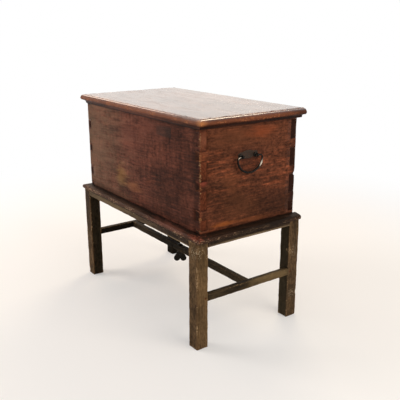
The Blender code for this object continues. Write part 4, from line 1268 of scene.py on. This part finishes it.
@dataclass
class Stand:
    """The stand: four legs, rails, an H of stretchers and the lip moulding that holds the chest.

    Attributes:
        body: The body that it rides on.
        slot: The record's slot for its wood.
        leg_wear: How deep the edges of legs and stretchers are rubbed.
        lip_wear: How deep the moulding's nose is rubbed.
        leg_cuts: Spacing of the cuts along legs and stretchers.
        lip_cuts: Spacing of the cuts along the moulding.
        lip_edge: How far from its nose the moulding is rubbed.
        stretcher_edge: How far from its edges a stretcher is rubbed.
    """

    body: str = "stand"
    slot: str = "stand_wood"
    leg_wear: float = 0.0012
    lip_wear: float = 0.0013
    leg_cuts: float = 0.014
    lip_cuts: float = 0.007
    lip_edge: float = 0.0045
    stretcher_edge: float = 0.005

    def dress(self, frame: dict[str, Any]) -> None:
        """Make the worn wood of the stand.

        Args:
            frame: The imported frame.
        """
        maker = WornWood(frame)
        self.legs(maker)
        self.rails(maker)
        maker.edge_width = self.lip_edge
        self.lip(maker)
        maker.edge_width = self.stretcher_edge
        self.stretchers(maker)
        for name in ("front_left", "front_right", "back_left", "back_right"):
            node = frame["nodes"][f"{name}_stretcher_peg"]
            low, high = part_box(node.name)
            middle = (low + high) / 2
            dress_node(node, PEG_WOOD.material(node.name, Grain.X, Side.NONE, middle, low.x + low.y))
        Smith(frame).make(Forging("stretcher_bolt", self.body))
        Fasteners.nail_mouldings(frame, "stand", "lip_moulding_nails", 0.72, 0.05, 11)

    def legs(self, maker: WornWood) -> None:
        """Make the legs, each with its own chips and rubbed places, and with painted light and shade on their
        faces.

        Args:
            maker: Makes the worn copies.
        """
        for name, inner in (("front_left_leg", Side.RIGHT_BACK), ("back_left_leg", Side.RIGHT_FRONT),
                            ("front_right_leg", Side.LEFT_BACK), ("back_right_leg", Side.LEFT_FRONT)):
            low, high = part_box(name)
            x, y = high.x, low.y
            chips, spots = {
                "front_left_leg": ((Chip((low.x, y, 0.010), 0.012, 0.0025),), ()),
                # The back left leg stands deepest under the chest and is painted dark all over as shade.
                "back_left_leg": ((), (ToneSpot((low.x, y, 0.0), (0.2, 0.2, 0.30), "100E0B", 0.9),)),
                "front_right_leg": (
                    (Chip((x, y + 0.004, 0.337), 0.011, 0.003), Chip((x, y, 0.012), 0.009, 0.0025)),
                    # The near leg: painted light on its right face, and pale scuffs near its head.
                    (ToneSpot((x, high.y, 0.16), (0.008, 0.06, 0.24), "92744E", 0.30),
                     ToneSpot((x - 0.008, y, 0.322), (0.030, 0.030, 0.020), "CDB998", 0.85, *SCUFFED))),
                "back_right_leg": (
                    (Chip((x, y, 0.245), 0.012, 0.002), Chip((x, high.y, 0.085), 0.010, 0.002)),
                    # The back right leg: painted shade on its right face, a lighter patch that eases the
                    # painted shade on its front face, and pale scuffs.
                    (ToneSpot((x, high.y, 0.16), (0.008, 0.06, 0.24), "40362A", 0.35),
                     ToneSpot((low.x, y, 0.16), (0.06, 0.006, 0.30), "544A3A", 0.50),
                     ToneSpot((x, y + 0.02, 0.245), (0.010, 0.016, 0.022), "BCA68C", 0.80, *SCUFFED),
                     ToneSpot((x, y + 0.02, 0.090), (0.010, 0.016, 0.018), "BCA68C", 0.75, *SCUFFED))),
            }[name]
            maker.make(Board(name, self.body, self.slot, STAND_WOOD, Grain.Z, raw_and_shade=inner, depth=self.leg_wear,
                             spots=spots), low, high, self.leg_cuts, chips)

    def rails(self, maker: WornWood) -> None:
        """Make the rails, rubbed pale along their lower edges, with dirt and painted shade along their tops
        under the lip.

        Args:
            maker: Makes the worn copies.
        """
        for name, grain, raw_and_shade in (("front_rail", Grain.X, Side.BACK), ("back_rail", Grain.X, Side.FRONT),
                                 ("left_rail", Grain.Y, Side.RIGHT), ("right_rail", Grain.Y, Side.LEFT)):
            low, high = endless_box(name, grain)
            if grain is Grain.X:
                rubbed = (ToneSpot((0.25, low.y, low.z + 0.002), (0.24, 0.03, 0.0030), "A08A6C", 0.55, 1.4),
                          ToneSpot((-0.16, low.y, low.z + 0.008), (0.25, 0.03, 0.016), "8E785A", 0.50))
            else:
                rubbed = (ToneSpot((high.x, 0.0, low.z + 0.003), (0.03, 0.20, 0.0042), "A08A6C", 0.60, 1.4),)
            # Dirt and painted shade along the top of each rail, under the lip.
            maker.make(Board(name, self.body, self.slot, RAIL_WOOD, grain, raw_and_shade=raw_and_shade,
                             spots=rubbed + (dirt_and_painted_shade(high.z, 0.0022),)), low, high)

    def lip(self, maker: WornWood) -> None:
        """Make the moulding round the chest's foot, rubbed along its nose, with dirt and painted shade at its
        top and foot and a painted warm highlight on the nose near the front corner.

        Args:
            maker: Makes the worn copies.
        """
        front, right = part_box("stand_front_moulding")[0].y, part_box("stand_right_moulding")[1].x
        low = Vector((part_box("stand_left_moulding")[0].x, front, -FAR))
        high = Vector((right, FAR, FAR))
        for name, grain in (("stand_front_moulding", Grain.X), ("stand_left_moulding", Grain.Y),
                            ("stand_right_moulding", Grain.Y)):
            foot, top = (corner.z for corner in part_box(name))
            # Dirt and painted shade along the joints at the lip's top and foot, and a painted warm highlight
            # on the front nose near the corner.
            spots = (dirt_and_painted_shade(top, 0.0026), dirt_and_painted_shade(foot, 0.0018),
                     ToneSpot((0.21, front, top - 0.006), (0.11, 0.03, 0.012), "9A5C4C", 0.36, 3.0),
                     ToneSpot((0.365, front, top - 0.007), (0.035, 0.02, 0.008), "96402A", 0.50, 3.0),
                     ToneSpot((right, 0.04, top - 0.008), (0.03, 0.24, 0.03), "1A130D", 0.92),
                     ToneSpot((right, front + 0.026, top - 0.007), (0.03, 0.026, 0.014), "30211A", 0.60, 1.4),
                     ToneSpot((right, front, top - 0.005), (0.07, 0.05, 0.008), "A8604C", 0.75, 1.4, 7.0))
            maker.make(Board(name, self.body, self.slot, LIP_WOOD, grain, Wear.NOSE, depth=self.lip_wear,
                             spots=spots), low, high, self.lip_cuts)

    def stretchers(self, maker: WornWood) -> None:
        """Make the H of stretchers, with painted shade where the long ones cross under the chest.

        Args:
            maker: Makes the worn copies.
        """
        for name, grain, raw_and_shade in (("left_stretcher", Grain.Y, Side.RIGHT),
                                 ("right_stretcher", Grain.Y, Side.LEFT),
                                 ("left_long_stretcher", Grain.X, Side.UNDER),
                                 ("right_long_stretcher", Grain.X, Side.UNDER)):
            low, high = endless_box(name, grain)
            spots = ()
            if name == "right_stretcher":
                spots = (ToneSpot((high.x, 0.09, high.z), (0.012, 0.11, 0.05), "9A8058", 0.42),)
            elif grain is Grain.X:
                # Painted shade where the long stretchers cross under the chest.
                spots = (ToneSpot((-0.10, 0.0, high.z), (0.26, 0.05, 0.05), "0F0E0A", 0.75),)
            maker.make(Board(name, self.body, self.slot, STRETCHER_WOOD, grain, raw_and_shade=raw_and_shade, depth=self.leg_wear,
                             spots=spots), low, high, self.leg_cuts)


@dataclass
class WingNut:
    """The wing nut under the crossing of the long stretchers."""

    body: str = "wing_nut"

    def dress(self, frame: dict[str, Any]) -> None:
        """Forge the nut."""
        Smith(frame).make(Forging("stretcher_wing_nut", self.body, 0.0007))


@dataclass
class Carcase:
    """The dovetailed box with its bottom boards and the lower hinge leaves.

    Attributes:
        body: The body that it rides on.
        corner_wear: How deep its edges are rubbed.
        edge_width: How far from an edge the rubbing reaches.
        patches: The let-in repairs: name, wood, left and right edge, and lower and upper edge.
        patch_proud: How far they stand out.
        patch_thickness: How thick they are.
        patch_edge: How far their edges are eased.
        bottom_cuts: Spacing of the cuts across the bottom boards.
        nail_inset: Distance of the bottom's nails from its ends and from its front and back edges.
        nail_corner: Distance of the outer nails of a long row and of a short one from the corners.
        nail_counts: How many nails a long row and a short one have.
        nick: Place of the broken bit at the back right corner.
        corner_chips: Height, radius and depth of each chip along the front right corner.
        front_marks: Rows of face_marks for old polish and stains on the front, and a lighter grey patch on
            its left end that is faded wax with a painted sheen.
        later_marks: Rows for what lies over them, among them painted shade along the bottom of the front.
        end_marks: Rows for the right end, among them painted shade down its back edge.
    """

    body: str = "chest"
    corner_wear: float = 0.0012
    edge_width: float = 0.007
    patches: tuple = (("right_let_in_patch", PATCH_WOOD, 0.128, 0.213, 0.641, 0.672),
                      ("left_let_in_patch", FRONT_WOOD, -0.214, -0.178, 0.640, 0.668))
    patch_proud: float = 0.0002
    patch_thickness: float = 0.0016
    patch_edge: float = 0.00015
    bottom_cuts: float = 0.05
    nail_inset: tuple[float, float] = (0.011, 0.012)
    nail_corner: tuple[float, float] = (0.04, 0.05)
    nail_counts: tuple[int, int] = (8, 5)
    nick: Point = (0.363, 0.194, 0.506)
    corner_chips: tuple = ((0.640, 0.008, 0.0016), (0.585, 0.006, 0.0012), (0.552, 0.009, 0.0018),
                           (0.478, 0.007, 0.0014), (0.421, 0.009, 0.0018))
    front_marks: tuple = (
        # The first row is a lighter grey patch over the left end: faded wax with a painted sheen.
        (-0.36, 0.55, 0.30, 0.36, "94745C", 0.42), (-0.115, 0.462, 0.040, 0.040, "AC7E48", 0.36),
        (-0.03, 0.435, 0.055, 0.022, "A86A48", 0.45), (0.16, 0.45, 0.09, 0.085, "241812", 0.42),
        (0.27, 0.50, 0.06, 0.24, "2C1812", 0.40), (-0.36, 0.50, 0.03, 0.20, "30241C", 0.25))
    later_marks: tuple = (
        (-0.05, 0.61, 0.09, 0.08, "925646", 0.36), (0.09, 0.655, 0.09, 0.035, "8E5444", 0.42),
        # These two rows are painted shade along the bottom of the front, above the lip.
        (-0.27, 0.380, 0.14, 0.014, "1C120E", 0.45), (0.27, 0.390, 0.08, 0.022, "1C120E", 0.50),
        (0.341, 0.52, 0.024, 0.30, "1C110D", 0.38))
    end_marks: tuple = (
        (-0.030, 0.655, 0.15, 0.040, "8E5438", 0.35), (0.045, 0.660, 0.06, 0.022, "A4502E", 0.40),
        (-0.030, 0.430, 0.09, 0.06, "7A4A30", 0.25), (-0.072, 0.515, 0.035, 0.040, "8E5436", 0.30),
        (0.130, 0.430, 0.09, 0.065, "2E1C14", 0.64), (-0.172, 0.490, 0.013, 0.130, "2A1710", 0.45),
        (-0.172, 0.670, 0.016, 0.022, "2A1710", 0.10), (-0.172, 0.613, 0.015, 0.028, "A85C38", 0.30, 1.8),
        # The dark row at 0.188 is painted shade down the back edge of the end.
        (-0.174, 0.535, 0.012, 0.017, "A04C3A", 0.50, 1.6), (0.188, 0.47, 0.018, 0.14, "2A140E", 0.82),
        (0.090, 0.505, 0.040, 0.026, "2E1C12", 0.42), (-0.128, 0.445, 0.020, 0.055, "2A1810", 0.38),
        (-0.008, 0.582, 0.065, 0.040, "2C1A16", 0.60, 1.6), (-0.010, 0.386, 0.10, 0.008, "A05C38", 0.34),
        (-0.100, 0.391, 0.045, 0.010, "B0622E", 0.55))

    def dress(self, frame: dict[str, Any]) -> None:
        """Make the worn boards, the let-in patches, the hinge leaves and the nails.

        Args:
            frame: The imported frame.
        """
        maker = WornWood(frame, self.edge_width)
        front_low, back_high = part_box("front_board")[0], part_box("back_board")[1]
        low = Vector((front_low.x, front_low.y, -FAR))
        high = Vector((back_high.x, back_high.y, FAR))
        nick = (Chip(self.nick, 0.0065, 0.0045),)
        chips = tuple(Chip((high.x, low.y, level), size, depth) for level, size, depth in self.corner_chips)
        shadow = (dirt_and_painted_shade(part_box("stand_front_moulding")[1].z, 0.0042),
                  dirt_and_painted_shade(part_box("lid_front_moulding")[0].z, 0.0030, 0.6))
        front_spots = face_marks(1, low.y, self.front_marks) + (
            ToneSpot((high.x, low.y + 0.014, 0.655), (0.010, 0.020, 0.030), "9A6048", 0.50),
        ) + face_marks(1, low.y, self.later_marks) + shadow
        # Painted shade down the back edge of the right end, on the back board's tails.
        back_spots = (ToneSpot((high.x, 0.180, 0.46), (0.012, 0.024, 0.16), "2A140E", 0.60),)
        end_spots = face_marks(0, high.x, self.end_marks) + shadow
        for name, slot, finish, grain, raw_and_shade, broken, spots in (
                ("front_board", "chest_front_wood", FRONT_WOOD, Grain.X, Side.BACK, chips, front_spots),
                ("back_board", "chest_front_wood", BACK_WOOD, Grain.X, Side.FRONT, nick, back_spots),
                ("left_end_board", "chest_end_wood", END_WOOD, Grain.Y, Side.RIGHT, (), shadow),
                ("right_end_board", "chest_end_wood", END_WOOD, Grain.Y, Side.LEFT, chips + nick, end_spots)):
            maker.make(Board(name, self.body, slot, finish, grain, raw_and_shade=raw_and_shade, depth=self.corner_wear,
                             spots=spots), low, high, chips=broken)
        self.bottom_boards(maker, low, high)
        self.let_in_patches(low.y, front_spots)
        Hinges(self.body, "lower", (0.0, 0.0, 0.0)).dress(frame)
        self.drive_nails()

    def bottom_boards(self, maker: WornWood, low: Vector, high: Vector) -> None:
        """Make the bottom boards, stained where their edges meet the light.

        Args:
            maker: Makes the worn copies.
            low: Lowest corner of the carcase.
            high: Highest corner of the carcase.
        """
        middle = sum(corner.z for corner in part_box("front_bottom_board")) / 2
        stained = tuple(
            ToneSpot((x, y, middle), (0.0025 if x else FAR, FAR if x else 0.0025, 0.02), "33201A", 0.9, 0.4)
            for x, y in ((0.0, low.y), (0.0, high.y), (low.x, 0.0), (high.x, 0.0)))
        for name in ("front_bottom_board", "back_bottom_board"):
            maker.make(Board(name, self.body, "bottom_wood", BOTTOM_WOOD, Grain.X, Wear.HIDDEN,
                             spots=stained), *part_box(name), self.bottom_cuts)

    def let_in_patches(self, front: float, spots: tuple[ToneSpot, ...]) -> None:
        """Set two old repairs into the front, the outer faces a hair proud.

        Args:
            front: Where the front face is.
            spots: Places on the front that time has coloured, and its painted shade and sheen.
        """
        for name, finish, left, right, bottom, top in self.patches:
            shape = bmesh.new()
            bmesh.ops.create_cube(shape, size=1.0)
            size = Vector((right - left, self.patch_thickness, top - bottom))
            center = Vector(((left + right) / 2, front - self.patch_proud + self.patch_thickness / 2,
                             (bottom + top) / 2))
            bmesh.ops.transform(shape, matrix=Matrix.LocRotScale(center, None, size), verts=shape.verts)
            bmesh.ops.bevel(shape, geom=shape.edges[:], offset=self.patch_edge, segments=2, affect="EDGES")
            wood = finish.material(name, Grain.X, Side.NONE, center, left * 7, spots)
            hand_over(put_object(name, shape, wood), self.body)

    def drive_nails(self) -> None:
        """Nail the bottom boards up into the sides and ends."""
        low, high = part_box("front_bottom_board")[0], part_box("back_bottom_board")[1]
        from_end, from_side = self.nail_inset
        long_margin, short_margin = self.nail_corner
        long_count, short_count = self.nail_counts
        rows = [(x, y) for y in (low.y + from_side, high.y - from_side)
                for x in spaced(low.x + long_margin, high.x - long_margin, long_count)]
        rows += [(x, y) for x in (low.x + from_end, high.x - from_end)
                 for y in spaced(low.y + short_margin, high.y - short_margin, short_count)]
        places = [(Vector((x, y, low.z)), Vector((0.0, 0.0, -1.0))) for x, y in rows]
        Fasteners.nails("bottom_board_nails", self.body, places, 23)


@dataclass
class Hinges:
    """The two butt hinges' leaves on one body.

    Attributes:
        body: The body that the leaves ride on.
        level: Whether they are the lower or the upper leaves.
        facing: Turn of the screws from facing up.
        screws: How many screws each leaf has.
        margin: Distance of the outer screws from the leaf's ends.
        forward: How far the screws stand in front of the middle of the seat.
    """

    body: str
    level: str
    facing: Point
    screws: int = 3
    margin: float = 0.011
    forward: float = 0.001

    def dress(self, frame: dict[str, Any]) -> None:
        """Countersink the leaves, set their screws and brown the pins.

        Args:
            frame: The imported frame.
        """
        steel = AGED_STEEL.material()
        tree = Fasteners.screw_tree()
        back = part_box("back_board")[1]
        seat = back.z if self.level == "lower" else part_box("lid_board")[0].z
        for end in ("left", "right"):
            name = f"{end}_{self.level}_hinge_leaf"
            low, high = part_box(name)
            middle = (low.y + back.y) / 2 - self.forward
            piece = Fasteners.grown(f"{name}_screwed", merged_copy(frame["nodes"][name]), tree,
                                    Count=self.screws, Start=(low.x + self.margin, middle, seat),
                                    End=(high.x - self.margin, middle, seat), Facing=self.facing,
                                    Seed=len(name), Steel=steel)
            hand_over(piece, self.body, name)
            if self.level == "lower":
                dress_node(frame["nodes"][f"{end}_hinge_pin"], steel)


@dataclass
class Lid:
    """The lid board with its mitred mouldings and the upper hinge leaves.

    Attributes:
        body: The body that it rides on.
        nose_wear: How deep its edges are rubbed.
        edge_width: How far from an edge the rubbing reaches.
        moulding_cuts: Spacing of the cuts along the mouldings.
    """

    body: str = "lid"
    nose_wear: float = 0.0010
    edge_width: float = 0.005
    moulding_cuts: float = 0.007

    def dress(self, frame: dict[str, Any]) -> None:
        """Make the worn wood of the lid.

        Args:
            frame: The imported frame.
        """
        maker = WornWood(frame, self.edge_width)
        (_, front, foot), (_, _, top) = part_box("lid_front_moulding")
        low = Vector((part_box("lid_left_moulding")[0].x, front, -FAR))
        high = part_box("lid_right_moulding")[1]
        maker.make(Board("lid_board", self.body, "lid_wood", LID_WOOD, Grain.X, raw_and_shade=Side.UNDER,
                         depth=self.nose_wear), low, high)
        for side in ("front", "left", "right"):
            grain = Grain.X if side == "front" else Grain.Y
            # Dirt and painted shade in the cove at the foot of each moulding; over the upper nose a paler
            # band, rubbed wood with a painted highlight, paler on the front than on the ends; and a painted
            # highlight on the near corner of the nose.
            dirt, worn = ((dirt_and_painted_shade(foot, 0.0040), "8E5E48") if side == "front" else
                          (dirt_and_painted_shade(foot + 0.0045, 0.0065, 0.75), "7A4A32"))
            spots = (dirt, ToneSpot((0.0, 0.0, top - 0.010), (FAR, FAR, 0.0070), worn, 0.6, 1.4),
                     ToneSpot((high.x, 0.21, top - 0.014), (0.06, 0.085, 0.02), "24140F", 0.62),
                     ToneSpot((high.x, front, top - 0.009), (0.022, 0.022, 0.012), "D08A50", 0.60, 1.6))
            maker.make(Board(f"lid_{side}_moulding", self.body, "lid_wood", LID_EDGE_WOOD, grain, Wear.NOSE,
                             depth=self.nose_wear, spots=spots), low, high, self.moulding_cuts)
        Hinges(self.body, "upper", (math.pi, 0.0, 0.0)).dress(frame)
        Fasteners.nail_mouldings(frame, "lid", "lid_moulding_nails", 0.30, 0.06, 5)


@dataclass
class DropHandle:
    """A forged drop handle: the bail, its plate, and two eye posts with nuts inside.

    Attributes:
        end: The end of the chest that it hangs on, "left" or "right".
        chest_body: The body that its plate, posts and nuts ride on.
    """

    end: str
    chest_body: str = "chest"

    def dress(self, frame: dict[str, Any]) -> None:
        """Forge the handle's pieces.

        Args:
            frame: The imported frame.
        """
        smith, chest = Smith(frame), self.chest_body
        smith.make(Forging(f"{self.end}_handle_plate", chest, 0.0006, 0.00025, PLATE_IRON))
        for row in ("front", "back"):
            smith.make(Forging(f"{self.end}_{row}_handle_post", chest, 0.0005, 0.00012, HANDLED_IRON))
            smith.make(Forging(f"{self.end}_{row}_handle_nut", chest, 0.0005, 0.00015))
        low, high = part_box(f"{self.end}_handle_bail")
        outer = high.x if self.end == "right" else low.x
        # Painted glints: two thin pale streaks on the outer side of the bail, where it would catch the light.
        bright = tuple(ToneSpot((outer, y, z), size, "F0E2CC", strength, 1.6) for y, z, size, strength in (
            (high.y - 0.007, low.z + 0.024, (0.0026, 0.0075, 0.0155), 0.80),
            (low.y + 0.009, high.z - 0.006, (0.0034, 0.0060, 0.0060), 0.85)))
        smith.make(Forging(f"{self.end}_handle_bail", f"{self.end}_handle", 0.0006, 0.00014, HANDLED_IRON,
                           bright))


@dataclass(frozen=True)
class Lamp:
    """A soft box.

    Attributes:
        name: Where its light comes from.
        place: Its middle.
        aim: The point that it looks at.
        width: Its width.
        height: Its height.
        watts: Its strength.
        color: Its colour.
    """

    name: str
    place: Point
    aim: Point
    width: float
    height: float
    watts: float
    color: str = "FFFFFF"

    def hang(self) -> None:
        """Put the lamp up, unseen by the camera."""
        light = bpy.data.lights.new(self.name, "AREA")
        light.shape = "RECTANGLE"
        light.size, light.size_y = self.width, self.height
        light.energy = self.watts
        light.color = hex_linear(self.color)[:3]
        lamp = new_object(self.name, light)
        lamp.location = self.place
        lamp.rotation_euler = (Vector(self.aim) - Vector(self.place)).to_track_quat("-Z", "Y").to_euler()
        lamp.visible_camera = False


@dataclass
class Studio:
    """The pale floor, the soft lamps, the white surround and the camera.

    Attributes:
        lens_mm: Focal length of the lens.
        sensor_mm: Width of the sensor.
        place: Where the camera stands.
        pitch: Its tilt from looking straight down, in degrees.
        heading: Its turn round the upright, in degrees.
        roll: Its turn round the line of sight, in degrees.
        floor_half: Half the width of the floor.
        floor_lift: Brightness that the floor has of its own near the stand.
        floor_fade: Distances from the middle at which it starts to whiten and is white.
        lamps: The lamps.
    """

    lens_mm: float = 53.494
    sensor_mm: float = 36.0
    place: Point = (1.7118, -1.1562, 0.9820)
    pitch: float = 73.2571
    heading: float = 54.2720
    roll: float = -0.1011
    floor_half: float = 9.0
    floor_lift: float = 0.30
    floor_fade: tuple[float, float] = (0.8, 2.2)
    lamps: tuple[Lamp, ...] = field(default_factory=lambda: (
        Lamp("window_left_back", (-3.2, 1.6, 1.25), (0.0, 0.0, 0.7), 3.0, 1.5, 2.0, "FFC880"),
        Lamp("window_left_high", (-2.9, 0.05, 2.25), (0.1, -0.1, 0.7), 1.5, 0.9, 19.0, "FFDCC0"),
        Lamp("roof_window_back", (-1.2, 1.5, 2.6), (0.3, 0.0, 0.7), 1.1, 0.8, 26.0, "FFE8C6"),
        Lamp("window_left_front", (-2.2, -2.2, 1.9), (-0.1, -0.2, 0.45), 1.6, 1.6, 50.0, "FFF8F0"),
        Lamp("room_right", (2.6, 0.6, 2.0), (0.3, 0.0, 0.45), 2.0, 1.6, 39.0, "FFF4E6"),
    ))

    @staticmethod
    def seen(tree: Tree) -> Socket:
        """One where the camera, a reflection or glass sees the surface, and nought for other light.

        Args:
            tree: The tree that gets the nodes.

        Returns:
            One or nought.
        """
        path = add_node(tree, "ShaderNodeLightPath").node.outputs
        seen = path["Is Camera Ray"]
        for ray in ("Is Glossy Ray", "Is Transmission Ray"):
            seen = add_node(tree, Step.PLUS, (seen, path[ray]), use_clamp=True)
        return seen

    def surround(self) -> None:
        """White for the camera and for reflections, and a soft grey light on the object."""
        world = bpy.data.worlds.new("soft_room")
        bpy.context.scene.world = world
        tree = emptied(world)
        color = layered(tree, (0.52, 0.51, 0.50, 1.0), (self.seen(tree), "FFFFFF"))
        back = add_node(tree, "ShaderNodeBackground", {"Color": color, "Strength": 1.0})
        add_node(tree, "ShaderNodeOutputWorld", {"Surface": back})

    def floor(self) -> None:
        """A plain pale floor that keeps the shadow and turns white for the camera."""
        shape = bmesh.new()
        bmesh.ops.create_grid(shape, x_segments=1, y_segments=1, size=self.floor_half)
        material = bpy.data.materials.new("pale_studio_floor")
        tree = emptied(material)
        add = partial(add_node, tree)
        white = hex_linear("FFFFFF")
        seen = self.seen(tree)
        matte = add("ShaderNodeBsdfDiffuse", {"Color": (0.62, 0.61, 0.60, 1.0)})
        # Near the stand the floor is lifted a little and keeps the shadow; far off it is the surround's white
        away = add(Step.LENGTH, (add("ShaderNodeTexCoord", out="Object"),))
        away = add(Step.FADE_IN, (away, *self.floor_fade))
        lift = add(Step.TIMES, (seen, self.floor_lift))
        lift = add("ShaderNodeEmission", {"Color": white, "Strength": lift})
        near = add("ShaderNodeAddShader", (matte, lift))
        bright = add("ShaderNodeEmission", {"Color": white, "Strength": 1.0})
        share = add(Step.TIMES, (seen, away))
        add("ShaderNodeOutputMaterial", {"Surface": add("ShaderNodeMixShader", (share, near, bright))})
        put_object("studio_floor", shape, material)

    def camera(self) -> None:
        """Stand where the photographer stood."""
        data = bpy.data.cameras.new("photo_camera")
        data.lens = self.lens_mm
        data.sensor_width = self.sensor_mm
        data.sensor_fit = "HORIZONTAL"
        data.clip_end = 100.0
        camera = new_object("photo_camera", data)
        camera.matrix_world = Matrix.Translation(self.place)
        for degrees, axis in ((self.heading, "Z"), (self.pitch, "X"), (self.roll, "Z")):
            camera.matrix_world @= Matrix.Rotation(math.radians(degrees), 4, axis)
        bpy.context.scene.camera = camera

    def build(self) -> None:
        """Set up the whole studio."""
        bpy.context.scene.view_settings.view_transform = "Standard"
        self.surround()
        self.floor()
        for lamp in self.lamps:
            lamp.hang()
        self.camera()


def main() -> None:
    """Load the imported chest, dress every sub-assembly and set up the studio."""
    logging.basicConfig(level=logging.INFO, format="%(name)s: %(message)s")
    for stray in list(bpy.data.objects):
        bpy.data.objects.remove(stray)
    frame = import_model()
    builders = [Stand(), WingNut(), Carcase(), Lid(), DropHandle("left"), DropHandle("right")]
    for builder in builders:
        LOG.info("building %s", type(builder).__name__)
        builder.dress(frame)
    Studio().build()


if __name__ == "__main__":
    main()
